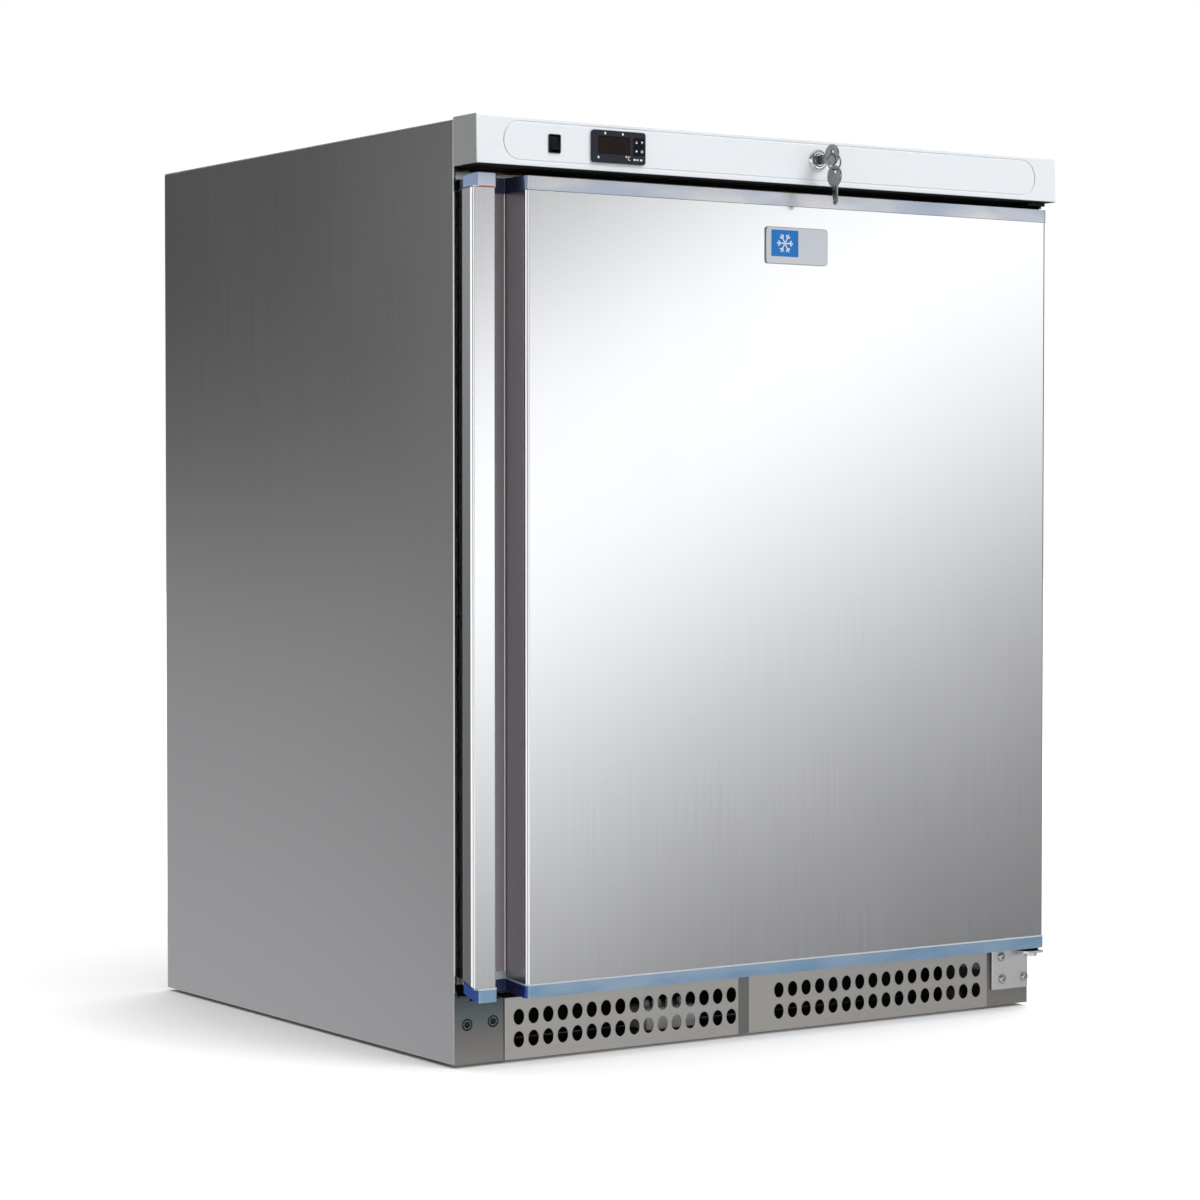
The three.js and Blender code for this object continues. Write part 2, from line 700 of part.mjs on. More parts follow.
// ---- Inside ----
function shelf(level) {
  const half = SHELF_HALF;
  const rim = 8;
  const bars = 13;
  const pitch = (2 * half - 2 * rim) / bars;
  const middle = (SHELF_FRONT + SHELF_BACK) / 2;
  const rows = [[SHELF_FRONT + rim, middle - 3], [middle + 3, SHELF_BACK - rim]];
  const slots = rows.flatMap(([y0, y1]) =>
    Array.from({ length: bars }, (_, i) => {
      const x0 = -half + rim + i * pitch + 2;
      return box([x0, x0 + pitch - 4], [y0, y1], [level - 1, level + SHELF_THICK + 1]);
    }),
  );
  const plate = box([-half, half], [SHELF_FRONT, SHELF_BACK], [level, level + SHELF_THICK]);
  return cut(plate, ...slots);
}

const COVER = { halfX: 150, z0: 515, z1: 725, front: 428 };
const COVER_BACK = CAVITY_BACK - GAP;

function evaporatorCover() {
  const { halfX, z0, z1, front } = COVER;
  const wall = 2.5;
  const slots = Array.from({ length: 11 }, (_, i) => {
    const x = -120 + 24 * i;
    return box([x - 8, x + 8], [front - 1, front + 10], [543, 553]);
  });
  return cut(
    alongY(roundedRectangle(-halfX, halfX, z0, z1, 12), [front, COVER_BACK]),
    box([-halfX + wall, halfX - wall], [front + wall, 500], [z0 + wall, z1 - wall]),
    alongY(circle(0, FAN_Z, 56, 32), [front - 1, front + 10]),
    ...slots,
  );
}

function evaporator() {
  const fins = 14;
  const pitch = 17;
  const left = -((fins - 1) * pitch) / 2;
  const plates = Array.from({ length: fins }, (_, i) => {
    const x = left + i * pitch;
    return box([x - 1.5, x + 1.5], [438, 474], [522, 590]);
  });
  return join(box([left, -left], [446, 466], [535, 577]), ...plates);
}

const fanMotor = () =>
  turned([[0, 450], [14, 450], [20, 454], [20, 474], [0, 474]], 20, "y", [0, 0, FAN_Z]);

function fanBlade() {
  const hub = turned([[0, 435], [13, 435], [14, 438], [14, 449.4], [0, 449.4]], 20, "y", [0, 0, 0]);
  const vanes = Array.from({ length: 5 }, (_, i) =>
    box([-11, 11], [-0.9, 0.9], [11, FAN_R])
      .rotateZ(0.42)
      .translate(0, 442, 0)
      .rotateY((2 * Math.PI * i) / 5),
  );
  return join(hub, ...vanes).translate(0, 0, FAN_Z);
}

// Rings and spokes cut from one disc.
function fanGuard() {
  const rings = [[16, 27], [30, 41], [44, 55]];
  const arms = 4;
  const holes = rings.flatMap(([inner, outer]) =>
    Array.from({ length: arms }, (_, arm) => {
      const at = (radius, part, steps) => {
        const spare = 1.8 / radius;
        const span = (2 * Math.PI) / arms - 2 * spare;
        const angle = (2 * Math.PI * arm) / arms + spare + (span * part) / steps;
        return point(radius * Math.cos(angle), FAN_Z + radius * Math.sin(angle));
      };
      const steps = 4;
      const out = Array.from({ length: steps + 1 }, (_, k) => at(outer, k, steps));
      const back = Array.from({ length: steps + 1 }, (_, k) => at(inner, steps - k, steps));
      return [...out, ...back];
    }),
  );
  return alongY(circle(0, FAN_Z, 60, 32), [425.4, 427.7], holes);
}

const temperatureProbe = () =>
  join(
    turned([[0, 300], [2.4, 301], [3, 303], [3, 335], [0, 335]], 12, "y", [272, 0, 700]),
    box([271, CAVITY_X - GAP], [310, 322], [696, 704]),
  );

// ---- Machine bay and rear ----
const COMPRESSOR = { x: -110, y: 452 };

function compressor() {
  const { x, y } = COMPRESSOR;
  const lowerShell = [[0, 24], [42, 24], [68, 34], [78, 56], [80, 92]];
  const seam = [[84, 96], [84, 102], [80, 106]];
  const upperShell = [[77, 140], [64, 168], [36, 182], [0, 186]];
  const pot = turned([...lowerShell, ...seam, ...upperShell], 18, "z", [x, y, 0]);
  return join(pot, box([x - 104, x + 104], [y - 62, y + 62], [24, 27]));
}

const terminalCover = () => {
  const { x, y } = COMPRESSOR;
  return box([x + 86, x + 122], [y - 32, y + 32], [70, 138]);
};

const condensateTray = () =>
  cut(
    alongZ(roundedRectangle(-200, -20, 392, 512, 12), [205, 240]),
    alongZ(roundedRectangle(-197.5, -22.5, 394.5, 509.5, 10), [207.5, 245]),
  );

const COIL = { halfX: 268, y0: 537, y1: 542, z0: 330, pitch: 44, rows: 11 };

// One flat serpentine, joined by two upright straps.
function condenserCoil() {
  const { halfX, y0, y1, z0, pitch, rows } = COIL;
  const turn = pitch / 2;
  const bend = 4;
  const line = [];
  for (let row = 0; row < rows; row += 1) {
    const side = row % 2 === 0 ? 1 : -1;
    const z = z0 + row * pitch;
    line.push([-side * halfX, z], [side * halfX, z]);
    if (row === rows - 1) break;
    for (let step = 1; step < bend; step += 1) {
      const angle = (Math.PI * step) / bend - Math.PI / 2;
      line.push([side * (halfX + turn * Math.cos(angle)), z + turn + turn * Math.sin(angle)]);
    }
  }
  const corners = line.map(([x, z]) => [x, z, 0.05]);
  const edge = (offset) => offsetCorners(corners, offset).map(([x, z]) => point(x, z));
  const tube = alongY([...edge(2.5), ...edge(-2.5).reverse()], [y0, y1]);
  const top = z0 + (rows - 1) * pitch + 12;
  const straps = [-190, 190].map((x) => box([x - 7, x + 7], [y0 - 1, y0 + 2], [z0 - 12, top]));
  return join(tube, ...straps);
}

// A round tube through points, with sides that suit its thin section.
function pipe(route, radius, steps) {
  const curve = new THREE.CatmullRomCurve3(route.map((p) => new THREE.Vector3(...p)));
  const section = new THREE.Shape(circle(0, 0, radius, 8));
  return new THREE.ExtrudeGeometry(section, { extrudePath: curve, steps, bevelEnabled: false });
}

// From the pot up to the first row of the condenser.
const dischargeTube = () =>
  pipe(
    [
      [-20, 452, 150],
      [10, 452, 165],
      [60, 470, 200],
      [150, 520, 240],
      [240, 539, 262],
      [262, 540, 300],
      [262, 540, 326],
    ],
    3,
    28,
  );

const filterDryer = () =>
  turned(
    [[0, 80], [3, 84], [3, 96], [10, 104], [10, 176], [3, 184], [3, 204], [0, 206]],
    16,
    "z",
    [285, 500, 0],
  );

const mainsGland = () =>
  turned(
    [[4, -9], [8, -9], [8, 1.3], [12, 1.3], [12, 4], [9, 5], [8, 9], [4, 9]],
    24,
    "y",
    [GLAND.x, GLAND.y, GLAND.z],
  );

// ---- The whole refrigerator ----
const fridge = new THREE.Group();

function add(name, geometry, material) {
  const mesh = new THREE.Mesh(geometry, material);
  mesh.name = name;
  fridge.add(mesh);
}

add("side_panel_left", sidePanel(-1), STAINLESS);
add("side_panel_right", sidePanel(1), STAINLESS);
add("top_panel", topPanel(), STAINLESS);
add("back_panel", backPanel(), GALVANISED);
add("cabinet_foam", cabinetFoam(), FOAM);
add("inner_liner", innerLiner(), WHITE_PLASTIC);
add("front_frame", frontFrame(), STAINLESS);
add("machine_bay_panel", machineBayPanel(), GALVANISED);

add("base_tray", baseTray(), GALVANISED);
for (const place of FEET) add("foot_" + place[0], foot(place), RUBBER);
add(
  "corner_plate_left",
  cornerPlate(-1, CORNER_INNER_LEFT, [circle(-314.5, 37.5, 3, 12), circle(-288, 38.5, 3, 12)]),
  DARK_STAINLESS,
);
add("corner_plate_right", cornerPlate(1, CORNER_INNER_RIGHT, []), DARK_STAINLESS);
add("grille_panel", grillePanel(), STAINLESS);

add("fascia_cover", fasciaCover(), FASCIA_PLASTIC);
add("controller_body", controllerBody(), BLACK_PLASTIC);
add("controller_bezel", controllerBezel(), BLACK_PLASTIC);
add("display_lens", displayLens(), LENS);
for (const place of BUTTONS) add(place[0], button(place), BLACK_PLASTIC);
add("switch_housing", switchHousing(), BLACK_PLASTIC);
add("switch_rocker", switchRocker(), BLACK_PLASTIC);
add("lock_barrel", lockBarrel(), CHROME);
add("lock_plug", lockPlug(), CHROME);
add("lock_cam", lockCam(), PLATED);
add("lock_key", lockKey(), CHROME);
add("key_ring", keyRing(), CHROME);

add("door_skin", doorSkin(), STAINLESS);
add("door_foam", doorFoam(), FOAM);
add("door_inner_panel", doorInnerPanel(), WHITE_PLASTIC);
add("door_gasket", doorGasket(), GASKET);
const TOP_CAP_Z = [TOP_CAP_BOTTOM, DOOR_TOP];
const TOP_FLANGE_Z = [TOP_CAP_BOTTOM, TOP_CAP_BOTTOM + CAP_FLANGE];
const BOTTOM_CAP_Z = [DOOR_BOTTOM, BOTTOM_CAP_TOP];
const BOTTOM_FLANGE_Z = [BOTTOM_CAP_TOP - CAP_FLANGE, BOTTOM_CAP_TOP];
add("door_top_cap", doorCap(TOP_CAP_Z, TOP_FLANGE_Z, [CAM_SLOT]), BLUE_PLASTIC);
add("door_bottom_cap", doorCap(BOTTOM_CAP_Z, BOTTOM_FLANGE_Z, []), BLUE_PLASTIC);
add("door_badge", doorBadge(), BADGE);
add("lower_hinge_plate", lowerHingePlate(), PLATED);
add("lower_hinge_pin", lowerHingePin(), PLATED);
add("lower_hinge_bush", hingeBush([57.4, 59.7], [59, 70.7]), BLACK_PLASTIC);
add("upper_hinge_plate", upperHingePlate(), PLATED);
add("upper_hinge_pin", upperHingePin(), PLATED);
add("upper_hinge_bush", hingeBush([774.8, 776.2], [763.5, 775]), BLACK_PLASTIC);

SHELF_LEVELS.forEach((level, i) => add(`shelf_${i + 1}`, shelf(level), SHELF_COAT));
add("evaporator", evaporator(), ALUMINIUM);
add("evaporator_cover", evaporatorCover(), WHITE_PLASTIC);
add("fan_motor", fanMotor(), BLACK_PLASTIC);
add("fan_blade", fanBlade(), BLACK_PLASTIC);
add("fan_guard", fanGuard(), SHELF_COAT);
add("temperature_probe", temperatureProbe(), BLACK_PLASTIC);

add("compressor", compressor(), BLACK_STEEL);
add("compressor_terminal_cover", terminalCover(), BLACK_PLASTIC);
add("condensate_tray", condensateTray(), WHITE_PLASTIC);
add("condenser_coil", condenserCoil(), BLACK_STEEL);
add("discharge_tube", dischargeTube(), COPPER);
add("filter_dryer", filterDryer(), COPPER);
add("mains_gland", mainsGland(), BLACK_PLASTIC);

// The key's bow reaches furthest forward: this centres the whole on the origin.
const FOREMOST = KEY_BOW_Y - KEY_BOW_R;
fridge.position.y = -(FOREMOST + DEPTH) / 2;

export default fridge;
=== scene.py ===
"""The looks of an undercounter refrigerator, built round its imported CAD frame.

Lengths in this file are millimetres unless a name says otherwise. Y counts from the cabinet's
front edge, X from its middle and Z from the floor, as at(x, y, z) turns into the row frame.
"""
import math

import bmesh
import bpy
from mathutils import Matrix, Vector
from mathutils.geometry import tessellate_polygon


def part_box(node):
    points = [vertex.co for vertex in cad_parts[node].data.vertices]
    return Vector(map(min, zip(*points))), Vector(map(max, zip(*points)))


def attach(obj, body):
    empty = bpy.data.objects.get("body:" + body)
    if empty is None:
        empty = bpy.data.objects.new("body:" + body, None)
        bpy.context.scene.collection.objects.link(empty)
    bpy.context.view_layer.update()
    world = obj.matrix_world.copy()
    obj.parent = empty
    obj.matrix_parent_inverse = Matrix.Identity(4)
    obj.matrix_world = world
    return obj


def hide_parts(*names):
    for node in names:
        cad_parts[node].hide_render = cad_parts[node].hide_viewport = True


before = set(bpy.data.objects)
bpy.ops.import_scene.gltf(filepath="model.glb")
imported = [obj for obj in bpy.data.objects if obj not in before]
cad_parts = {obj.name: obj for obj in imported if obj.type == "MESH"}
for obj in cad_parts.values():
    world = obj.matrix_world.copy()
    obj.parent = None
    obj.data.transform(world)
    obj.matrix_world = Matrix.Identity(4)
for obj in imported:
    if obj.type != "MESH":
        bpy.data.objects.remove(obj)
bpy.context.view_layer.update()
MM = 0.001


FRONT_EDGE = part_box("side_panel_left")[0].y / MM


def span(node):
    """A CAD node's box in millimetres: (x0, x1), (y0, y1), (z0, z1), with Y from the cabinet's front."""
    low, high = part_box(node)
    shift = (0, FRONT_EDGE, 0)
    return [(low[i] / MM - shift[i], high[i] / MM - shift[i]) for i in range(3)]


def at(x, y, z):
    return Vector((x * MM, (y + FRONT_EDGE) * MM, z * MM))


# ---- Camera, light and floor -------------------------------------------------------------------
CAMERA_PLACE_M = (-1.7849, -2.6447, 0.4874)
CAMERA_YAW = math.radians(33.841)
CAMERA_PITCH = math.radians(-1.646)
CAMERA_LENS_MM = 97.59


def set_camera():
    data = bpy.data.cameras.new("camera")
    data.lens = CAMERA_LENS_MM
    data.sensor_width = 36
    camera = bpy.data.objects.new("camera", data)
    flat = math.cos(CAMERA_PITCH)
    forward = Vector((math.sin(CAMERA_YAW) * flat, math.cos(CAMERA_YAW) * flat, math.sin(CAMERA_PITCH)))
    camera.location = CAMERA_PLACE_M
    camera.rotation_mode = "QUATERNION"
    camera.rotation_quaternion = forward.to_track_quat("-Z", "Y")
    bpy.context.scene.collection.objects.link(camera)
    bpy.context.scene.camera = camera


class Nodes:
    """A node tree that is written as nested calls."""

    def __init__(self, tree):
        self.tree = tree

    def add(self, kind, inputs=None, **settings):
        node = self.tree.nodes.new(kind)
        for name, value in settings.items():
            setattr(node, name, value)
        for name, value in (inputs or {}).items():
            self.set(node.inputs[name], value)
        return node

    def set(self, socket, value):
        if isinstance(value, bpy.types.NodeSocket):
            self.tree.links.new(value, socket)
        else:
            socket.default_value = value

    def math(self, operation, *values):
        return self.add("ShaderNodeMath", dict(enumerate(values)), operation=operation).outputs[0]

    def dot(self, vector, direction):
        inputs = {0: vector, 1: Vector(direction).normalized()}
        return self.add("ShaderNodeVectorMath", inputs, operation="DOT_PRODUCT").outputs["Value"]

    def ramp(self, value, stops, interpolation="EASE"):
        """stops are (place, grey) or (place, colour), with places from 0 to 1."""
        node = self.add("ShaderNodeValToRGB", {"Fac": value})
        node.color_ramp.interpolation = interpolation
        elements = node.color_ramp.elements
        for index, (place, shade) in enumerate(stops):
            element = elements[index] if index < 2 else elements.new(place)
            element.position = place
            level = shade if isinstance(shade, tuple) else (shade, shade, shade)
            element.color = (*level, 1)
        return node.outputs["Color"]

    def levels(self, value, low, high, to_low=0.0, to_high=1.0, smooth=False):
        kind = "SMOOTHSTEP" if smooth else "LINEAR"
        inputs = {"Value": value, "From Min": low, "From Max": high, "To Min": to_low, "To Max": to_high}
        node = self.add("ShaderNodeMapRange", inputs, interpolation_type=kind)
        return node.outputs["Result"]

    def mix(self, factor, a, b, blend="MIX"):
        node = self.add("ShaderNodeMix", data_type="RGBA", blend_type=blend)
        self.set(node.inputs["Factor"], factor)
        self.set(node.inputs[6], a)
        self.set(node.inputs[7], b)
        return node.outputs[2]


# The studio is a world of soft lights by direction: a tilted strip light in front on the right, a
# narrow soft box on the left, a pale ceiling, a bright floor, and a dark room all round.
STRIP_MIDDLE = (0.527, -0.850, 0.0)
STRIP_ACROSS = (-0.43, -0.266, 0.863)
STRIP_EDGE = (0.86, 0.95)  # cosines of its reach and of its core
STRIP_PROFILE = [  # (sine of the angle across the strip, brightness)
    (-0.60, 0.42), (-0.26, 0.20), (-0.17, 0.33), (-0.10, 0.82), (-0.05, 1.52),
    (0.0, 2.03), (0.035, 1.70), (0.08, 0.52), (0.16, 0.55), (0.6, 0.6),
]
ROOM_PROFILE = [  # (sine of the height, brightness)
    (-1.0, 0.70), (-0.30, 0.62), (-0.10, 0.50), (-0.03, 0.36), (0.02, 0.14),
    (0.10, 0.085), (0.35, 0.15), (0.7, 0.55), (1.0, 0.95),
]
# Low bands of light round the front and the left pick out the rounded edges. Each is (middle
# direction, cosine of its reach, cosine of its core, brightness); the gap faces the camera.
EDGE_BANDS = (
    ((0.02, -1.0, 0.0), 0.90, 0.94, 1.75),
    ((-0.99, -0.14, 0.0), 0.76, 0.84, 1.75),
)
EDGE_BAND_HEIGHT = (0.13, 0.26)
# A pale panel behind on the left, brighter towards its top: middle, and cosines of reach and core.
REAR_PANEL = ((-0.77, 0.64, 0.0), 0.93, 0.97)
REAR_PANEL_PROFILE = [(-1.0, 0.2), (-0.14, 0.2), (-0.06, 0.22), (0.02, 0.30), (0.09, 0.46), (1.0, 0.5)]
BRIGHTEST = 2.2


def profile_ramp(nodes, value, profile):
    """A smooth curve through (value, brightness) pairs; a ramp holds up to 1, so BRIGHTEST scales it."""
    low, high = profile[0][0], profile[-1][0]
    place = nodes.levels(value, low, high)
    stops = [((at_value - low) / (high - low), level / BRIGHTEST) for at_value, level in profile]
    return nodes.math("MULTIPLY", nodes.ramp(place, stops, "CARDINAL"), BRIGHTEST)


def set_world():
    world = bpy.data.worlds.new("studio")
    bpy.context.scene.world = world
    world.use_nodes = True
    nodes = Nodes(world.node_tree)
    world.node_tree.nodes.clear()
    direction = nodes.add("ShaderNodeTexCoord").outputs["Generated"]
    height = nodes.add("ShaderNodeSeparateXYZ", {"Vector": direction}).outputs["Z"]
    room = profile_ramp(nodes, height, ROOM_PROFILE)
    strip = profile_ramp(nodes, nodes.dot(direction, STRIP_ACROSS), STRIP_PROFILE)
    near_strip = nodes.levels(nodes.dot(direction, STRIP_MIDDLE), *STRIP_EDGE, smooth=True)
    middle, reach, core = REAR_PANEL
    near_panel = nodes.levels(nodes.dot(direction, middle), reach, core, smooth=True)
    base = nodes.mix(near_panel, room, profile_ramp(nodes, height, REAR_PANEL_PROFILE))
    low = nodes.levels(nodes.math("ABSOLUTE", height), *EDGE_BAND_HEIGHT, 1.0, 0.0, smooth=True)
    for middle, reach, core, bright in EDGE_BANDS:
        band = nodes.levels(nodes.dot(direction, middle), reach, core, 0.0, bright, smooth=True)
        base = nodes.math("MAXIMUM", base, nodes.math("MULTIPLY", band, low))
    light = nodes.mix(near_strip, base, strip)
    seen = nodes.add("ShaderNodeLightPath").outputs["Is Camera Ray"]
    colour = nodes.mix(seen, light, (1, 1, 1, 1))
    background = nodes.add("ShaderNodeBackground", {"Color": colour, "Strength": 1.0})
    output = nodes.add("ShaderNodeOutputWorld")
    world.node_tree.links.new(background.outputs[0], output.inputs["Surface"])


def sun(name, towards, strength, softness):
    """A broad soft light from a direction, seen in no reflection."""
    data = bpy.data.lights.new(name, "SUN")
    data.energy = strength
    data.angle = math.radians(softness)
    light = bpy.data.objects.new(name, data)
    light.rotation_mode = "QUATERNION"
    light.rotation_quaternion = (-Vector(towards)).to_track_quat("-Z", "Y")
    light.visible_glossy = False
    bpy.context.scene.collection.objects.link(light)


def set_lights():
    sun("key_light", (0.42, -1.0, 0.80), 1.75, 34)
    sun("top_light", (0.25, 0.10, 1.0), 1.7, 70)
    sun("rear_light", (0.6, 1.0, 0.7), 0.5, 60)


FLOOR_REACH_M = 14.0
FLOOR_SEEN = (0.95, 0.95, 0.95, 1)
FLOOR_LIT = (0.35, 0.35, 0.35, 1)


def floor_material():
    """White to look at, but it lights the object no more than a grey floor would."""
    material = bpy.data.materials.new("floor")
    material.use_nodes = True
    nodes = Nodes(material.node_tree)
    surface = material.node_tree.nodes["Principled BSDF"]
    seen = nodes.add("ShaderNodeLightPath").outputs["Is Camera Ray"]
    nodes.set(surface.inputs["Base Color"], nodes.mix(seen, FLOOR_LIT, FLOOR_SEEN))
    surface.inputs["Roughness"].default_value = 0.9
    surface.inputs["Specular IOR Level"].default_value = 0.0
    return material


def set_floor():
    mesh = bpy.data.meshes.new("floor")
    reach = FLOOR_REACH_M
    corners = [(-reach, -reach, 0), (reach, -reach, 0), (reach, reach, 0), (-reach, reach, 0)]
    mesh.from_pydata(corners, [], [(0, 1, 2, 3)])
    mesh.materials.append(floor_material())
    floor = bpy.data.objects.new("floor", mesh)
    bpy.context.scene.collection.objects.link(floor)
    floor.visible_glossy = False


# ---- Materials ---------------------------------------------------------------------------------
VERTICAL_GRAIN = (1500.0, 1500.0, 7.0)  # streaks a metre along X, Y and Z
CROSS_GRAIN = (7.0, 1500.0, 1500.0)
STEEL = (205, 206, 208)
# Painted shade inside the closed door's finger recess: its colour, its span across and its depths.
RECESS_SHADE_COLOUR = (52, 50, 92)
GRIP_AROUND = (-302.5, -267.0)  # the painted recess shade runs from the strip's right edge to the front's left edge
RECESS_DEPTHS = (-27, -14)  # where the painted recess shade starts, and where it is full


def linear(colour):
    """sRGB from 0 to 255, as light."""
    return tuple(((c / 255 + 0.055) / 1.055) ** 2.4 if c > 10 else c / 255 / 12.92 for c in colour)


def shader(name, colour, **settings):
    """A new Principled material; settings are socket names with _ for a space."""
    material = bpy.data.materials.new(name)
    material.use_nodes = True
    node = material.node_tree.nodes["Principled BSDF"]
    node.inputs["Base Color"].default_value = (*linear(colour), 1)
    for socket, value in settings.items():
        node.inputs[socket.replace("_", " ")].default_value = value
    return material, Nodes(material.node_tree), node


def texture(nodes, scale, detail=3.0, roughness=0.5):
    """A noise in object space; scale is (x, y, z) in features a metre."""
    place = nodes.add("ShaderNodeTexCoord").outputs["Object"]
    mapped = nodes.add("ShaderNodeMapping", {"Vector": place, "Scale": scale}).outputs["Vector"]
    inputs = {"Vector": mapped, "Scale": 1.0, "Detail": detail, "Roughness": roughness}
    return nodes.add("ShaderNodeTexNoise", inputs).outputs["Fac"]


def cells(nodes, scale, output):
    """Cells in object space, so many a metre; output is Color or Distance."""
    place = nodes.add("ShaderNodeTexCoord").outputs["Object"]
    return nodes.add("ShaderNodeTexVoronoi", {"Vector": place, "Scale": scale}).outputs[output]


def world_part(nodes, output, axis):
    """One axis of the surface's Normal or Position in the room."""
    vector = nodes.add("ShaderNodeNewGeometry").outputs[output]
    return nodes.add("ShaderNodeSeparateXYZ", {"Vector": vector}).outputs[axis]


def bump(nodes, node, height, strength, distance_mm):
    inputs = {"Height": height, "Strength": strength, "Distance": distance_mm * MM}
    nodes.set(node.inputs["Normal"], nodes.add("ShaderNodeBump", inputs).outputs["Normal"])


def vary_colour(nodes, node, height, spread):
    """Darkens and lightens the base colour by a share."""
    base = tuple(node.inputs["Base Color"].default_value)
    darker = tuple(c * (1 - spread) for c in base[:3])
    lighter = tuple(min(1.0, c * (1 + spread)) for c in base[:3])
    nodes.set(node.inputs["Base Color"], nodes.ramp(height, [(0.3, darker), (0.7, lighter)], "LINEAR"))


def vary_roughness(nodes, node, height, low, high):
    nodes.set(node.inputs["Roughness"], nodes.levels(height, 0.3, 0.7, low, high))


def brushed(name, colour, roughness, grain, spread=0.04, depth=0.25):
    """Satin sheet metal; grain is the number of streaks a metre along X, Y and Z."""
    material, nodes, node = shader(name, colour, Metallic=1.0)
    streaks = texture(nodes, grain, detail=4.0, roughness=0.65)
    clouds = texture(nodes, (3.5, 3.5, 3.5), detail=2.0)
    mixed = nodes.math("ADD", nodes.math("MULTIPLY", streaks, 0.7), nodes.math("MULTIPLY", clouds, 0.3))
    vary_colour(nodes, node, mixed, spread)
    vary_roughness(nodes, node, mixed, roughness - 0.03, roughness + 0.03)
    bump(nodes, node, streaks, depth, 0.01)
    return material


def paint_shade_leftward(material, colour):
    """The same material with painted shade: another, darker colour on the sides that face left in the
    room.
    """
    nodes = Nodes(material.node_tree)
    socket = material.node_tree.nodes["Principled BSDF"].inputs["Base Color"]
    leftward = nodes.levels(world_part(nodes, "Normal", "X"), -0.3, -0.8, smooth=True)
    front = socket.links[0].from_socket if socket.links else tuple(socket.default_value)
    nodes.set(socket, nodes.mix(leftward, front, (*linear(colour), 1)))
    return material


def moulded(name, colour, roughness, texture_mm=0.6, depth=0.12, spread=0.02, uneven=0.045, **settings):
    """Moulded plastic or rubber with a fine grain and a little unevenness."""
    material, nodes, node = shader(name, colour, **settings)
    grain = texture(nodes, (1000 / texture_mm,) * 3, detail=2.0)
    clouds = texture(nodes, (9.0, 9.0, 9.0), detail=2.0)
    vary_colour(nodes, node, clouds, spread)
    vary_roughness(nodes, node, clouds, roughness - uneven, roughness + uneven)
    bump(nodes, node, grain, depth, 0.05)
    return material


def polished(name, colour, roughness, spread=0.03):
    """Smooth metal with faint marks of handling."""
    material, nodes, node = shader(name, colour, Metallic=1.0)
    marks = texture(nodes, (260.0, 260.0, 260.0), detail=5.0, roughness=0.7)
    vary_colour(nodes, node, marks, spread)
    vary_roughness(nodes, node, marks, roughness, roughness + 0.09)
    bump(nodes, node, marks, 0.06, 0.02)
    return material


def filmed_and_shaded(name, colour, patch, side, metallic, roughness):
    """Moulded edge trim that still has its thin film: the tint comes and goes. Painted shade makes it
    deeper on the sides that face left in the room and inside the closed door's finger recess."""
    material, nodes, node = shader(name, colour, Metallic=metallic)
    patches = texture(nodes, (9.0, 22.0, 30.0), detail=3.0)
    front = nodes.ramp(patches, [(0.36, linear(colour)), (0.66, linear(patch))])
    # Painted shade: the sides that face left in the room take the darker side colour.
    leftward = nodes.levels(world_part(nodes, "Normal", "X"), -0.35, -0.75, smooth=True)
    shaded_left = nodes.mix(leftward, front, (*linear(side), 1))
    # Painted shade: inside the finger recess the trim darkens towards the recess shade colour.
    start, full = (at(0, y, 0).y for y in RECESS_DEPTHS)
    depth = nodes.levels(world_part(nodes, "Position", "Y"), start, full, 0.0, 0.85, smooth=True)
    left, right = (x * MM for x in GRIP_AROUND)
    across = world_part(nodes, "Position", "X")
    right_of = nodes.levels(across, left, left + 2 * MM)
    left_of = nodes.levels(across, right, right - 2 * MM)
    inside = nodes.math("MULTIPLY", depth, nodes.math("MULTIPLY", right_of, left_of))
    nodes.set(node.inputs["Base Color"], nodes.mix(inside, shaded_left, (*linear(RECESS_SHADE_COLOUR), 1)))
    vary_roughness(nodes, node, patches, roughness, roughness + 0.12)
    ripples = texture(nodes, (90.0, 90.0, 90.0), detail=2.0)
    bump(nodes, node, ripples, 0.15, 0.12)
    return material


def corner_material():
    """The bare plate at the foot of a side: darker towards its top."""
    material, nodes, node = shader("corner_steel", (120, 120, 120), Metallic=1.0)
    share = nodes.levels(world_part(nodes, "Position", "Z"), 8 * MM, 56 * MM)
    colours = [(0.0, (146, 144, 141)), (0.45, (128, 127, 126)), (1.0, (88, 102, 106))]
    colours = [(place, linear(colour)) for place, colour in colours]
    streaks = texture(nodes, CROSS_GRAIN, detail=4.0, roughness=0.65)
    shade = nodes.mix(0.25, nodes.ramp(share, colours, "LINEAR"), streaks, "OVERLAY")
    nodes.set(node.inputs["Base Color"], shade)
    vary_roughness(nodes, node, streaks, 0.36, 0.44)
    bump(nodes, node, streaks, 0.4, 0.01)
    return material


def spangled(name, colour):
    """Galvanised sheet with its crystals."""
    material, nodes, node = shader(name, colour, Metallic=0.9)
    crystals = cells(nodes, 90.0, "Color")
    grey = nodes.add("ShaderNodeSeparateColor", {"Color": crystals}).outputs["Red"]
    vary_colour(nodes, node, grey, 0.12)
    vary_roughness(nodes, node, grey, 0.34, 0.5)
    bump(nodes, node, texture(nodes, (600.0,) * 3), 0.08, 0.03)
    return material


def lens_material():
    """Smoked clear plastic over an unlit display."""
    material, nodes, node = shader("display_lens", (24, 12, 9), **{"Specular IOR Level": 0.15})
    haze = texture(nodes, (120.0,) * 3, detail=3.0)
    vary_colour(nodes, node, haze, 0.25)
    vary_roughness(nodes, node, haze, 0.16, 0.3)
    return material


def foam_material():
    material, nodes, node = shader("foam", (216, 200, 148), Roughness=0.95)
    vary_colour(nodes, node, texture(nodes, (14.0,) * 3), 0.12)
    bump(nodes, node, cells(nodes, 420.0, "Distance"), 0.5, 0.8)
    return material


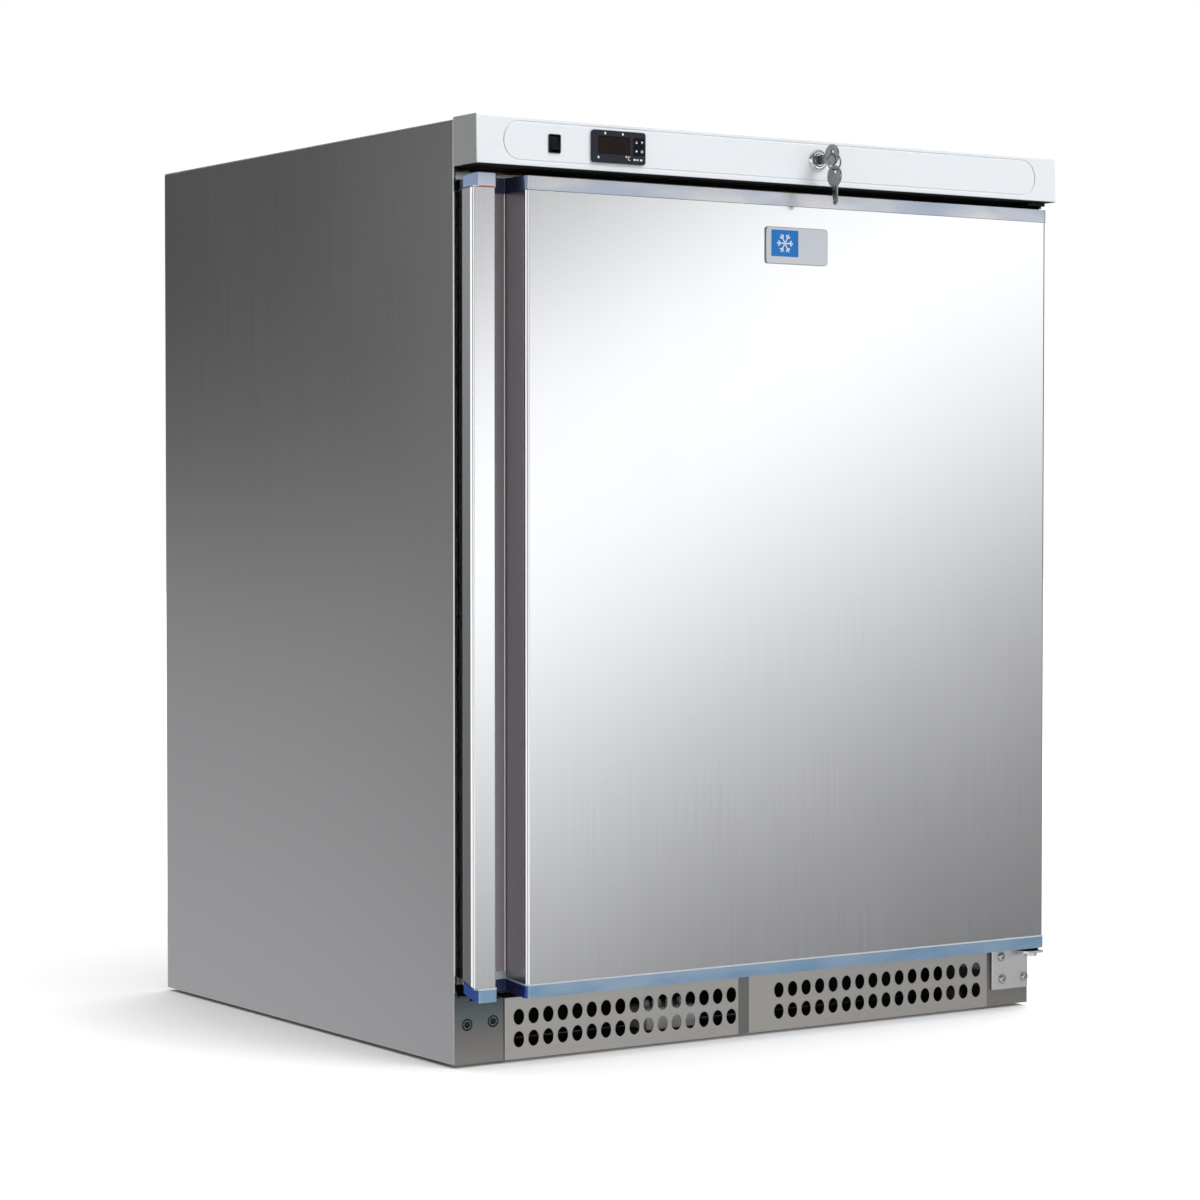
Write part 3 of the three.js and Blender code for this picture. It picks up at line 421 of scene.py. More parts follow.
MATERIALS = {
    "door_steel": brushed("door_steel", STEEL, 0.16, VERTICAL_GRAIN),
    # The finger recess's steel takes a darker colour on its left-facing walls: painted shade.
    "grip_steel": paint_shade_leftward(
        brushed("grip_steel", (206, 202, 206), 0.3, VERTICAL_GRAIN), (166, 162, 164)),
    "side_steel": brushed("side_steel", STEEL, 0.2, VERTICAL_GRAIN),
    "top_steel": brushed("top_steel", STEEL, 0.24, CROSS_GRAIN),
    "plinth_steel": brushed("plinth_steel", (184, 181, 178), 0.36, CROSS_GRAIN, 0.07, 0.4),
    "corner_steel": corner_material(),
    "hinge_steel": polished("hinge_steel", (214, 214, 214), 0.3),
    "screw_steel": polished("screw_steel", (196, 196, 198), 0.18),
    "chrome": polished("chrome", (216, 218, 221), 0.08),
    "key_metal": polished("key_metal", (148, 149, 153), 0.2, 0.2),
    "spare_key_metal": polished("spare_key_metal", (152, 150, 150), 0.22, 0.2),
    "torn_film": moulded("torn_film", (186, 104, 66), 0.5),
    # A darker copy of the plinth steel: painted shade for the grille's cover strip.
    "shaded_joint_steel": brushed("shaded_joint_steel", (126, 126, 124), 0.4, CROSS_GRAIN, 0.05, 0.4),
    "plug_steel": polished("plug_steel", (44, 52, 55), 0.2),
    "galvanised": spangled("galvanised", (172, 176, 180)),
    # A darker copy of the galvanised sheet: painted shade for the base tray seen through the grille.
    "shaded_tray_steel": spangled("shaded_tray_steel", (78, 80, 82)),
    # The fascia is painted grey on its left-facing side: painted shade.
    "fascia": paint_shade_leftward(moulded("fascia", (232, 236, 240), 0.3, 0.5, 0.05, 0.01), (172, 173, 174)),
    "liner": moulded("liner", (240, 241, 241), 0.42, 1.2, 0.08, 0.004, 0.006),
    # Each trim's third colour is painted shade for its left-facing sides; its recess part is painted
    # darker too.
    "top_trim": filmed_and_shaded("top_trim", (206, 206, 210), (176, 188, 206), (128, 144, 176), 0.55, 0.24),
    "bottom_trim": filmed_and_shaded("bottom_trim", (152, 174, 196), (116, 152, 184), (28, 62, 140), 0.45, 0.2),
    # A pale strip along the bottom trim's top edge is a painted highlight.
    "trim_highlight": moulded("trim_highlight", (196, 202, 210), 0.25),
    "bezel": moulded("bezel", (36, 36, 47), 0.34, 0.4, 0.2, **{"Specular IOR Level": 0.22}),
    "black": moulded("black", (12, 12, 14), 0.38, 0.5, 0.25, 0.1, **{"Specular IOR Level": 0.22}),
    # A flat black for sheets that paint shadow.
    "shade": moulded("shade", (5, 5, 6), 0.95, 0.8, 0.1, 0.05),
    "legend": moulded("legend", (238, 240, 242), 0.4),
    "lens": lens_material(),
    "rubber": moulded("rubber", (38, 39, 41), 0.7, 0.8, 0.4, 0.1),
    "gasket": moulded("gasket", (150, 153, 155), 0.55, 0.7, 0.2, 0.04),
    "foam": foam_material(),
    "badge": brushed("badge", (206, 212, 218), 0.34, CROSS_GRAIN, 0.03, 0.1),
    "badge_blue": moulded("badge_blue", (0, 108, 184), 0.4, 0.5, 0.03),
    "wire": moulded("wire", (222, 225, 228), 0.25, 1.0, 0.15),
    "fins": brushed("fins", (200, 203, 206), 0.35, (400.0, 400.0, 20.0)),
    "enamel": moulded("enamel", (17, 18, 21), 0.3, 2.2, 0.25, 0.1),
    "copper": polished("copper", (200, 124, 84), 0.28, 0.12),
    "white_plastic": moulded("white_plastic", (226, 228, 228), 0.35, 0.8, 0.1),
}


# ---- Mesh tools --------------------------------------------------------------------------------
def arc_points(corners, steps=10):
    """A path of corners (a, b, radius) with its corners rounded; the ends stay sharp."""
    path = []
    for index, (a, b, radius) in enumerate(corners):
        here = Vector((a, b))
        if radius <= 0 or index in (0, len(corners) - 1):
            path.append(here)
            continue
        back = (Vector(corners[index - 1][:2]) - here).normalized()
        onward = (Vector(corners[index + 1][:2]) - here).normalized()
        half = math.acos(max(-1, min(1, back.dot(onward)))) / 2
        centre = here + (back + onward).normalized() * radius / math.sin(half)
        first = here + back * radius / math.tan(half) - centre
        last = here + onward * radius / math.tan(half) - centre
        sweep = math.atan2(first.x * last.y - first.y * last.x, first.dot(last))
        for step in range(steps + 1):
            turn = Matrix.Rotation(sweep * step / steps, 2)
            path.append(centre + turn @ first)
    return path


def shifted(corners, distance):
    """The same path of corners moved sideways, to the left of its direction for a positive distance."""
    moved = []
    for index, (a, b, radius) in enumerate(corners):
        normals = []
        for first, second in ((index - 1, index), (index, index + 1)):
            if 0 <= first and second < len(corners):
                along = (Vector(corners[second][:2]) - Vector(corners[first][:2])).normalized()
                normals.append(Vector((-along.y, along.x)))
        if len(normals) == 1:
            place = Vector((a, b)) + normals[0] * distance
            moved.append((place.x, place.y, 0))
            continue
        middle = (normals[0] + normals[1]).normalized()
        place = Vector((a, b)) + middle * distance / middle.dot(normals[0])
        turn = normals[0].x * normals[1].y - normals[0].y * normals[1].x
        moved.append((place.x, place.y, max(radius - math.copysign(1, turn) * distance, 0.05)))
    return moved


def ring(a, b, radius_a, radius_b=None, steps=32):
    radius_b = radius_b or radius_a
    angles = [2 * math.pi * i / steps for i in range(steps)]
    return [Vector((a + radius_a * math.cos(t), b + radius_b * math.sin(t))) for t in angles]


def rounded(a0, a1, b0, b1, radius, steps=8):
    low_a, high_a = a0 + radius, a1 - radius
    low_b, high_b = b0 + radius, b1 - radius
    outline = []
    for quarter, (a, b) in enumerate([(high_a, high_b), (low_a, high_b), (low_a, low_b), (high_a, low_b)]):
        for step in range(steps + 1):
            angle = math.pi / 2 * (quarter + step / steps)
            outline.append(Vector((a + radius * math.cos(angle), b + radius * math.sin(angle))))
    return outline


def points_of(*places):
    """An outline from corners (a, b)."""
    return [Vector(place) for place in places]


PLANES = {  # how an outline (a, b) and a height become x, y, z
    "y": lambda a, b, h: (a, h, b),
    "z": lambda a, b, h: (a, b, h),
}


class Shape:
    """Closed bodies gathered into one mesh."""

    def __init__(self):
        self.bm = bmesh.new()

    def put(self, points, faces):
        """Adds points in metres, and faces that count among them."""
        made = [self.bm.verts.new(p) for p in points]
        for face in faces:
            self.bm.faces.new([made[i] for i in face])

    def prism(self, outline, low, high, axis="z"):
        """An outline pushed out along an axis; low and high are heights, or functions of (a, b)."""
        count = len(outline)
        points = []
        for level in (low, high):
            for p in outline:
                height = level(p[0], p[1]) if callable(level) else level
                points.append(at(*PLANES[axis](p[0], p[1], height)))
        faces = [(i, (i + 1) % count, count + (i + 1) % count, count + i) for i in range(count)]
        flat = [Vector((p[0], p[1], 0)) for p in outline]
        for a, b, c in tessellate_polygon([flat]):
            faces += [(c, b, a), (count + a, count + b, count + c)]
        self.put(points, faces)
        return self

    def wall(self, outer, inner, low, high, axis="z"):
        """The space between two outlines with the same number of points."""
        plane = PLANES[axis]
        count = len(outer)
        points = [at(*plane(p[0], p[1], h)) for h in (low, high) for p in (*outer, *inner)]
        faces = []
        for i in range(count):
            j = (i + 1) % count
            o0, o1, n0, n1 = i, j, count + i, count + j
            p0, p1, m0, m1 = (k + 2 * count for k in (o0, o1, n0, n1))
            faces += [(o0, o1, p1, p0), (n1, n0, m0, m1), (o1, o0, n0, n1), (p0, p1, m1, m0)]
        self.put(points, faces)
        return self

    def box(self, x, y, z):
        corners = points_of((x[0], y[0]), (x[1], y[0]), (x[1], y[1]), (x[0], y[1]))
        return self.prism(corners, z[0], z[1])

    def turned(self, profile, place, axis="z", steps=48, closed=False):
        """A profile (radius, height) turned about an axis through place."""
        rows = []
        plane = PLANES[axis]
        for radius, height in profile:
            if radius < 1e-6:
                rows.append([self.bm.verts.new(at(*place) + Vector(plane(0, 0, height)) * MM)])
                continue
            rows.append([
                self.bm.verts.new(at(*place) + Vector(plane(p[0], p[1], height)) * MM)
                for p in ring(0, 0, radius, steps=steps)
            ])
        following = rows[1:] + (rows[:1] if closed else [])
        for first, second in zip(rows, following):
            for i in range(steps):
                j = (i + 1) % steps
                corners = [first[i % len(first)], first[j % len(first)]]
                corners += [second[j % len(second)], second[i % len(second)]]
                unique = list(dict.fromkeys(corners))
                if len(unique) > 2:
                    self.bm.faces.new(unique)
        return self

    def tube(self, path, radius, sides=12, closed=False):
        """A round tube through points (x, y, z)."""
        points = [at(*p) for p in path]
        count = len(points)
        rows = []
        normal = None
        for i, here in enumerate(points):
            before = points[i - 1] if i > 0 or closed else here
            after = points[(i + 1) % count] if i < count - 1 or closed else here
            along = (after - before).normalized()
            if normal is None:
                normal = along.orthogonal().normalized()
            normal = (normal - along * normal.dot(along)).normalized()
            side = along.cross(normal)
            rows.append([
                self.bm.verts.new(here + (normal * math.cos(t) + side * math.sin(t)) * radius * MM)
                for t in [2 * math.pi * k / sides for k in range(sides)]
            ])
        for i in range(count if closed else count - 1):
            first, second = rows[i], rows[(i + 1) % count]
            start = 0
            if closed and i == count - 1:
                start = min(range(sides), key=lambda k: (second[k].co - first[0].co).length)
            for k in range(sides):
                n = (k + 1) % sides
                across = [second[(n + start) % sides], second[(k + start) % sides]]
                self.bm.faces.new([first[k], first[n], *across])
        if not closed:
            self.bm.faces.new(rows[0][::-1])
            self.bm.faces.new(rows[-1])
        return self

    def loops(self, rows):
        """A sheet through closed rows of points (x, y, z)."""
        made = [[self.bm.verts.new(at(*p)) for p in row] for row in rows]
        for first, second in zip(made, made[1:]):
            for k in range(len(first)):
                n = (k + 1) % len(first)
                self.bm.faces.new([first[k], first[n], second[n], second[k]])
        return self

    def soften(self, chosen, radius, segments):
        """Rounds the edges whose middle (x, y, z) is chosen."""
        edges = []
        for edge in self.bm.edges:
            middle = (edge.verts[0].co + edge.verts[1].co) / 2 / MM - Vector((0, FRONT_EDGE, 0))
            if chosen(middle):
                edges.append(edge)
        bmesh.ops.bevel(
            self.bm, geom=edges, offset=radius * MM, segments=segments, profile=0.5, affect="EDGES"
        )
        return self

    def mesh(self, name):
        bmesh.ops.recalc_face_normals(self.bm, faces=self.bm.faces)
        mesh = bpy.data.meshes.new(name)
        self.bm.to_mesh(mesh)
        self.bm.free()
        return mesh


def piece(name, shape, body, material, replaces=(), bevel=0.0, angle=35, segments=3):
    """A new object of the refrigerator, smooth, with its sharp edges rounded by bevel mm."""
    mesh = shape if isinstance(shape, bpy.types.Mesh) else shape.mesh(name)
    thing = bpy.data.objects.new(name, mesh)
    bpy.context.scene.collection.objects.link(thing)
    mesh.materials.clear()
    mesh.materials.append(MATERIALS[material])
    finish(thing, bevel, angle, segments)
    if not bevel:
        mesh.set_sharp_from_angle(angle=math.radians(angle))
    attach(thing, body)
    if replaces:
        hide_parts(*replaces)
    return thing


def finish(thing, bevel, angle, segments):
    """Smooth faces, with the edges sharper than the angle rounded by bevel mm."""
    for face in thing.data.polygons:
        face.use_smooth = True
    if bevel:
        rounding = thing.modifiers.new("rounding", "BEVEL")
        rounding.width = bevel * MM
        rounding.segments = segments
        rounding.limit_method = "ANGLE"
        rounding.angle_limit = math.radians(angle)
    normals = thing.modifiers.new("normals", "WEIGHTED_NORMAL")
    normals.keep_sharp = True
    normals.weight = 100


def dress(node, material, bevel=0.0, angle=35, segments=2):
    """Gives a CAD node its material, and rounds its edges by bevel mm."""
    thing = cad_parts[node]
    mesh = thing.data
    if "custom_normal" in mesh.attributes:
        mesh.attributes.remove(mesh.attributes["custom_normal"])
    mesh.materials.clear()
    mesh.materials.append(MATERIALS[material])
    weld = thing.modifiers.new("weld", "WELD")
    weld.merge_threshold = 0.01 * MM
    flatten = thing.modifiers.new("flatten", "DECIMATE")
    flatten.decimate_type = "DISSOLVE"
    flatten.angle_limit = math.radians(1)
    finish(thing, bevel, angle, segments)


def plate_mesh(name, outline, holes, front, back, rim):
    """A flat plate in the XZ plane with holes and rounded edges, from Y = front to back."""
    curve = bpy.data.curves.new(name, "CURVE")
    curve.dimensions = "2D"
    curve.fill_mode = "BOTH"
    curve.extrude = ((back - front) / 2 - rim) * MM
    curve.bevel_depth = rim * MM
    curve.bevel_resolution = 2
    curve.offset = -rim * MM
    for index, points in enumerate([outline, *holes]):
        loop = [Vector(p) for p in points]
        area = sum(p.x * q.y - q.x * p.y for p, q in zip(loop, loop[1:] + loop[:1]))
        if (area > 0) == (index > 0):
            loop.reverse()
        spline = curve.splines.new("POLY")
        spline.points.add(len(loop) - 1)
        for target, p in zip(spline.points, loop):
            target.co = (p.x * MM, p.y * MM, 0, 1)
        spline.use_cyclic_u = True
    thing = bpy.data.objects.new(name, curve)
    bpy.context.scene.collection.objects.link(thing)
    bpy.context.view_layer.update()
    evaluated = thing.evaluated_get(bpy.context.evaluated_depsgraph_get())
    mesh = bpy.data.meshes.new_from_object(evaluated)
    bpy.data.objects.remove(thing)
    bpy.data.curves.remove(curve)
    upright = Matrix(((1, 0, 0), (0, 0, -1), (0, 1, 0))).to_4x4()
    mesh.transform(Matrix.Translation(at(0, (front + back) / 2, 0)) @ upright)
    weld = bmesh.new()
    weld.from_mesh(mesh)
    bmesh.ops.remove_doubles(weld, verts=weld.verts, dist=0.002 * MM)
    weld.to_mesh(mesh)
    weld.free()
    return mesh


def carve(base, *tools):
    """The mesh of base with the tools cut away; all are Shapes."""
    thing = bpy.data.objects.new("carved", base.mesh("carved"))
    bpy.context.scene.collection.objects.link(thing)
    helpers = []
    for index, tool in enumerate(tools):
        helper = bpy.data.objects.new(f"tool_{index}", tool.mesh(f"tool_{index}"))
        bpy.context.scene.collection.objects.link(helper)
        cut = thing.modifiers.new(f"cut_{index}", "BOOLEAN")
        cut.operation = "DIFFERENCE"
        cut.solver = "EXACT"
        cut.object = helper
        helpers.append(helper)
    bpy.context.view_layer.update()
    mesh = bpy.data.meshes.new_from_object(thing.evaluated_get(bpy.context.evaluated_depsgraph_get()))
    for helper in [*helpers, thing]:
        bpy.data.objects.remove(helper)
    return mesh


# ---- Cabinet -----------------------------------------------------------------------------------
# Where the painted shadow strips lie on the side panels' front edges.
EDGE_SHADOW_ACROSS = (324.5, 325.7)
EDGE_SHADOW_HEIGHTS = (67, 779)


def make_cabinet():
    dress("side_panel_left", "side_steel", 0.45)
    dress("side_panel_right", "side_steel", 0.45)
    dress("top_panel", "top_steel", 0.4)
    dress("back_panel", "galvanised")
    dress("machine_bay_panel", "galvanised")
    dress("cabinet_foam", "foam")
    dress("front_frame", "door_steel")
    # The base tray's dark colour is painted shade.
    dress("base_tray", "shaded_tray_steel", 0.3)
    # A thin black strip on the fold of each side panel's front edge is painted shadow, standing in for the
    # dark gap beside the door.
    for name, side in (("edge_shadow_left", -1), ("edge_shadow_right", 1)):
        low, high = sorted(side * x for x in EDGE_SHADOW_ACROSS)
        shadow_strip = plate_mesh(name, rounded(low, high, *EDGE_SHADOW_HEIGHTS, 0.5, 4), [], -0.25, 0.8, 0.25)
        piece(name, shadow_strip, "cabinet", "black", angle=60)


FOOT_PAD = [
    (0, 0), (15.2, 0), (16, 0.5), (17.6, 1.6), (18, 2.6), (18, 5), (17, 6.2), (11, 7.2), (7.5, 8), (0, 8),
]
THREAD_PITCH = 2


def make_feet():
    for node in (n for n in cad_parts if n.startswith("foot_")):
        x, y, (_, top) = span(node)
        place = (sum(x) / 2, sum(y) / 2, 0)
        stem = [(0, 7)]
        for turn in range(8):
            stem += [(3.9, 8.2 + THREAD_PITCH * turn), (4.5, 9.2 + THREAD_PITCH * turn)]
        stem += [(3.9, top), (0, top)]
        shape = Shape().turned(FOOT_PAD, place).turned(stem, place, steps=24)
        piece(node + "_pad", shape, node, "rubber", [node])


# ---- Plinth ------------------------------------------------------------------------------------
HOLE_ROWS = (20.4, 40.2)
HOLE_GROUPS = ((-262, -31.5), (23, 261))
HOLES_ACROSS = 16
HOLE_RADII = (5.5, 7.0)
JOINT_ACROSS = (-23.6, -11.8)
PLINTH_FRONT = span("grille_panel")[1][0]


def make_grille():
    (x0, x1), (y0, y1), (z0, z1) = span("grille_panel")
    holes = []
    for first, last in HOLE_GROUPS:
        for z in HOLE_ROWS:
            for i in range(HOLES_ACROSS):
                holes.append(ring(first + (last - first) * i / (HOLES_ACROSS - 1), z, *HOLE_RADII, 28))
    outline = rounded(x0, x1, z0, z1, 0.6, 3)
    face = plate_mesh("grille_face", outline, holes, y0, y0 + 1.0, 0.28)
    piece("grille_face", face, "cabinet", "plinth_steel", ["grille_panel"], angle=50)
    flanges = Shape()
    for low, high in ((z0, z0 + 1), (z1 - 1, z1)):
        flanges.box((x0, x1), (y0 + 0.6, y1), (low, high))
    piece("grille_flanges", flanges, "cabinet", "plinth_steel", angle=20)
    # The two halves of the panel meet under a cover strip, whose darker steel is painted shade.
    cover = rounded(*JOINT_ACROSS, z0 + 0.4, z1 - 0.4, 0.8, 3)
    strip = plate_mesh("grille_joint", cover, [], y0 - 0.5, y0 + 0.3, 0.45)
    piece("grille_joint", strip, "cabinet", "shaded_joint_steel", angle=60)
    # A black sheet behind the holes paints the shade inside the machine bay.
    screen = plate_mesh("grille_shadow_screen", rounded(-272, 272, 10.2, 57.8, 1, 4), [], 62, 64, 0.4)
    piece("grille_shadow_screen", screen, "cabinet", "shade", angle=60)


PLUGS = ((-314.5, 37.5), (-288, 38.5))


def make_corners():
    dress("corner_plate_left", "corner_steel", 0.25)
    dress("corner_plate_right", "corner_steel", 0.25)
    front = span("corner_plate_left")[1][0]
    dish = [(0, 1.7), (1.6, 1.5), (2.8, 0.9), (3.7, 0.15), (4.3, -0.35), (4.9, -0.5)]
    dish += [(5.3, -0.3), (5.4, 0.05), (2.9, 0.9), (2.4, 2.2), (0, 2.4)]
    plugs = Shape()
    for x, z in PLUGS:
        plugs.turned(dish, (x, front, z), "y", 32)
    piece("corner_plugs", plugs, "cabinet", "plug_steel", angle=60)


SCREW_RADIUS, SCREW_HEIGHT = 3.7, 2.4
LOWER_SCREWS = ((291.5, 50.5), (292.7, 28.8), (320.5, 28.8))
UPPER_SCREWS = ((293, 797), (315, 797))


def screw(shape, place):
    """A pan head on a washer, with a round recess, facing forwards."""
    radius, height = SCREW_RADIUS, SCREW_HEIGHT
    edge = radius * 0.35
    head = [(0, -height * 0.55), (radius * 0.45, -height * 0.55), (radius * 0.5, -height)]
    head += [(radius - edge, -height), (radius - edge * 0.3, -height * 0.8)]
    head += [(radius, -height * 0.45), (radius, 0), (0, 0)]
    shape.turned(head, place, "y", 36)
    shape.turned([(0, -0.5), (radius * 1.3, -0.5), (radius * 1.3, 0), (0, 0)], place, "y", 36)


def make_lower_hinge():
    """An upright plate on the plinth, and a leaf that reaches forwards to carry the pin."""
    (x0, x1), (y0, y1), (z0, z1) = span("lower_hinge_plate")
    face = PLINTH_FRONT - 1.4
    upright = plate_mesh("lower_hinge_face", rounded(x0, x1, z0, z1, 1.6, 4), [], face, y1, 0.5)
    replaced = ["lower_hinge_plate"]
    piece("lower_hinge_face", upright, "cabinet", "hinge_steel", replaced, angle=50)
    back = face + 1
    outline = points_of((303, back), (303, -19), (305, -24), (309, y0), (325.4, y0), (325.4, back))
    leaf = Shape().prism(outline, z1 - 2.4, z1)
    piece("lower_hinge_leaf", leaf, "cabinet", "hinge_steel", bevel=0.3)
    screws = Shape()
    for x, z in LOWER_SCREWS:
        screw(screws, (min(x, x1 - 4.9), face, z))
    piece("lower_hinge_screws", screws, "cabinet", "screw_steel", angle=40)


def make_upper_hinge():
    """The upper hinge's plate and screws, and the pins and bushes of both hinges."""
    # The upper hinge plate is black; in the gap under the fascia this also stands in for its shade.
    dress("upper_hinge_plate", "black", 0.3)
    for node in ("lower_hinge_pin", "upper_hinge_pin"):
        dress(node, "hinge_steel", 0.4)
    for node in ("lower_hinge_bush", "upper_hinge_bush"):
        dress(node, "black")
    _, (_, upper_back), _ = span("upper_hinge_plate")
    screws = Shape()
    for x, z in UPPER_SCREWS:
        screw(screws, (x, upper_back - 2.7, z))
    piece("upper_hinge_screws", screws, "cabinet", "screw_steel", angle=40)


def make_junction_box():
    """The small connection box on the base, behind the left group of holes."""
    body = Shape().box((-108, -49), (24, 58), (10, 30))
    body.soften(lambda p: True, 2.0, 3)
    for i in range(4):
        body.turned([(0, 0), (3.4, 0), (3.4, 5), (2.4, 6), (0, 6)], (-99 + 13 * i, 38, 30), "z", 16)
    piece("junction_box", body, "cabinet", "white_plastic", angle=40)
    leads = Shape()
    for i in range(3):
        x = -96 + 15 * i
        path = [(x, 30, 30), (x - 2, 27, 36), (x + 2, 26, 42), (x + 8, 30, 46), (x + 16, 38, 47)]
        leads.tube(path, 1.4, 8)
    piece("junction_leads", leads, "cabinet", "legend", angle=60)


# ---- Door --------------------------------------------------------------------------------------
DOOR_X, (DOOR_FRONT, SKIN_BACK), SKIN_Z = span("door_skin")
DOOR_BACK = span("door_bottom_cap")[1][1]
LIP_LEFT = span("side_panel_left")[0][0]
GRIP_LEFT, GRIP_RIGHT, GRIP_BOTTOM = -301.3, -270.5, 5.5
TRIM_PROUD = 0.8


def door_path(back):
    """Corners of the door's section, from its left back edge round the front to its right back edge."""
    return [
        (-319.6, back, 0),
        (-321.8, -9, 3),
        (LIP_LEFT + 0.1, -14.5, 1.2),
        (LIP_LEFT + 1.6, DOOR_FRONT, 3),
        (GRIP_LEFT, DOOR_FRONT, 1.5),
        (GRIP_LEFT, GRIP_BOTTOM, 2),
        (GRIP_RIGHT, GRIP_BOTTOM, 1.5),
        (GRIP_RIGHT, DOOR_FRONT, 3.6),
        (DOOR_X[1], DOOR_FRONT, 3),
        (321.5, -6, 5),
        (319.6, back, 0),
    ]


def trim_path(proud):
    """The trims' section: the door's, a little larger, with a slanted front left corner."""
    followed = shifted(door_path(DOOR_BACK - TRIM_PROUD), -proud)[4:]
    spare = proud - TRIM_PROUD
    left = [
        (-313.5 - spare, DOOR_BACK - TRIM_PROUD, 0),
        (-315.5 - spare, -10.5, 3),
        (LIP_LEFT, -14.6, 1.5),
        (-319.8 - spare * 0.6, DOOR_FRONT - proud, 3),
    ]
    return left + followed


# The trims curl round the strip's left side, the bottom one upwards and the top one down; the curl
# runs from the front corner to the side's end.
CURL_START = (-319.8, -28.8)
CURL_END = (-327.0, -13.0)
CURL_ALONG = (-0.83, 0.557)
CURL_LENGTH = sum((b - a) * k for a, b, k in zip(CURL_START, CURL_END, CURL_ALONG))
GRIP_REACH = -262  # right of this the trims run level


def curl(x, y):
    share = ((x - CURL_START[0]) * CURL_ALONG[0] + (y - CURL_START[1]) * CURL_ALONG[1]) / CURL_LENGTH
    return max(0.0, min(1.0, share)) if x < GRIP_LEFT else 0.0


def grip_depth(x, y):
    inside = GRIP_LEFT - 2 < x < GRIP_REACH
    return max(0.0, min(1.0, (y - DOOR_FRONT) / (GRIP_BOTTOM - DOOR_FRONT))) if inside else 0.0


def bottom_rise(x, y):
    return 9.0 * curl(x, y) ** 1.15 + 3.0 * grip_depth(x, y)


def top_drop(x, y):
    return 1.8 * curl(x, y) + 1.0 * grip_depth(x, y)


def top_dip(x, y):
    return 1.6 + 3.6 * curl(x, y) ** 1.5


def raised(level):
    """A height that follows the bottom trim's curl."""
    return lambda x, y: level + bottom_rise(x, y)


def lowered(level):
    """A height that follows the underside of the top trim."""
    return lambda x, y: level - top_drop(x, y)


SHEET = 0.8  # the thickness of the skin


def make_door_skin():
    """The folded sheet in three runs: the strip, the finger recess and the front."""
    corners = door_path(SKIN_BACK)
    left_end = (GRIP_LEFT, DOOR_FRONT + 2.2, 0)
    right_end = (GRIP_RIGHT, DOOR_FRONT + 4.2, 0)
    runs = {
        "door_strip": ([*corners[:5], left_end], "door_steel"),
        "door_grip": ([left_end, *corners[5:7], right_end], "grip_steel"),
        "door_sheet": ([right_end, *corners[7:]], "door_steel"),
    }
    for name, (run, material) in runs.items():
        outer = divided(arc_points(run))
        inner = divided(arc_points(shifted(run, SHEET)))
        skin = Shape().prism(outer + inner[::-1], raised(SKIN_Z[0]), lowered(SKIN_Z[1]))
        replaced = ["door_skin"] if name == "door_sheet" else ()
        piece(name, skin, "door", material, replaced, angle=40)


def divided(path, step=2.5):
    """The same path with points at most a step apart in depth."""
    dense = [path[0]]
    for before, after in zip(path, path[1:]):
        parts = max(1, math.ceil(abs(after.y - before.y) / step))
        dense += [before.lerp(after, k / parts) for k in range(1, parts + 1)]
    return dense


HIGHLIGHT_HEIGHT = 1.1
FLANGE = 1.2


def make_bottom_trim(path, closing):
    low, high = span("door_bottom_cap")[2]
    bottom = Shape().prism(path, raised(low), raised(high))
    piece("door_bottom_trim", bottom, "door", "bottom_trim", ["door_bottom_cap"], 0.5, 50)
    end = Shape().prism(closing, raised(high - FLANGE), raised(high))
    piece("door_bottom_closing", end, "door", "bottom_trim", angle=50)
    # A pale strip along the top edge of the bottom trim is a painted highlight.
    highlight_path = divided(arc_points(trim_path(TRIM_PROUD + 0.15)))
    highlight_strip = Shape().prism(highlight_path, raised(high - 0.2), raised(high - 0.2 + HIGHLIGHT_HEIGHT))
    piece("door_bottom_highlight", highlight_strip, "door", "trim_highlight", (), 0.3, 50)


def make_top_trim(path, closing):
    """The top trim, with a slot for the lock's cam."""
    low, high = span("door_top_cap")[2]
    top = Shape().prism(path, lowered(low), lambda x, y: high - top_dip(x, y))
    (cx0, cx1), (cy0, cy1), _ = span("lock_cam")
    slot = Shape().box((cx0 - 0.6, cx1 - 15), (cy0 - 1.2, cy1 + 1.2), (767.5, high + 2))
    piece("door_top_trim", carve(top, slot), "door", "top_trim", ["door_top_cap"], 0.6, 50)
    end = Shape().prism(closing, lowered(low), lowered(low + FLANGE))
    piece("door_top_closing", end, "door", "top_trim", angle=50)
    # A scrap of torn film lies along the foot of the top trim, on the strip.
    torn = rounded(-318.5, -302.5, low - 0.2, low + 0.9, 0.4, 3)
    trim_front = DOOR_FRONT - TRIM_PROUD
    film = plate_mesh("film_edge", torn, [], trim_front - 0.15, trim_front + 0.3, 0.1)
    piece("film_edge", film, "door", "torn_film", angle=50)


def make_trims():
    path = divided(arc_points(trim_path(TRIM_PROUD)))
    closing = divided(arc_points(door_path(DOOR_BACK - TRIM_PROUD)))
    make_bottom_trim(path, closing)
    make_top_trim(path, closing)


def make_door_inside():
    """The inner panel: a flat sheet, a raised border on it, and the floor of the hollow inside."""
    across, (y0, y1), height = span("door_inner_panel")
    flat = y0 + 2
    sheet = Shape().box(across, (y0, flat), height)
    hollow = rounded(-222, 222, 158, 682, 18, 8)
    bulge = plate_mesh("bulge", rounded(-262, 262, 118, 722, 22, 8), [hollow], flat - 6, y1, 5)
    # The floor of the hollow stays clear of the foam behind it.
    floor = Shape().prism(rounded(-226, 226, 154, 686, 20, 8), flat - 1, y1 - 1.8, "y")
    piece("door_panel_flat", sheet, "door", "liner", ["door_inner_panel"], 0.5)
    piece("door_panel_bulge", bulge, "door", "liner", angle=50)
    piece("door_panel_hollow", floor, "door", "liner", angle=40)


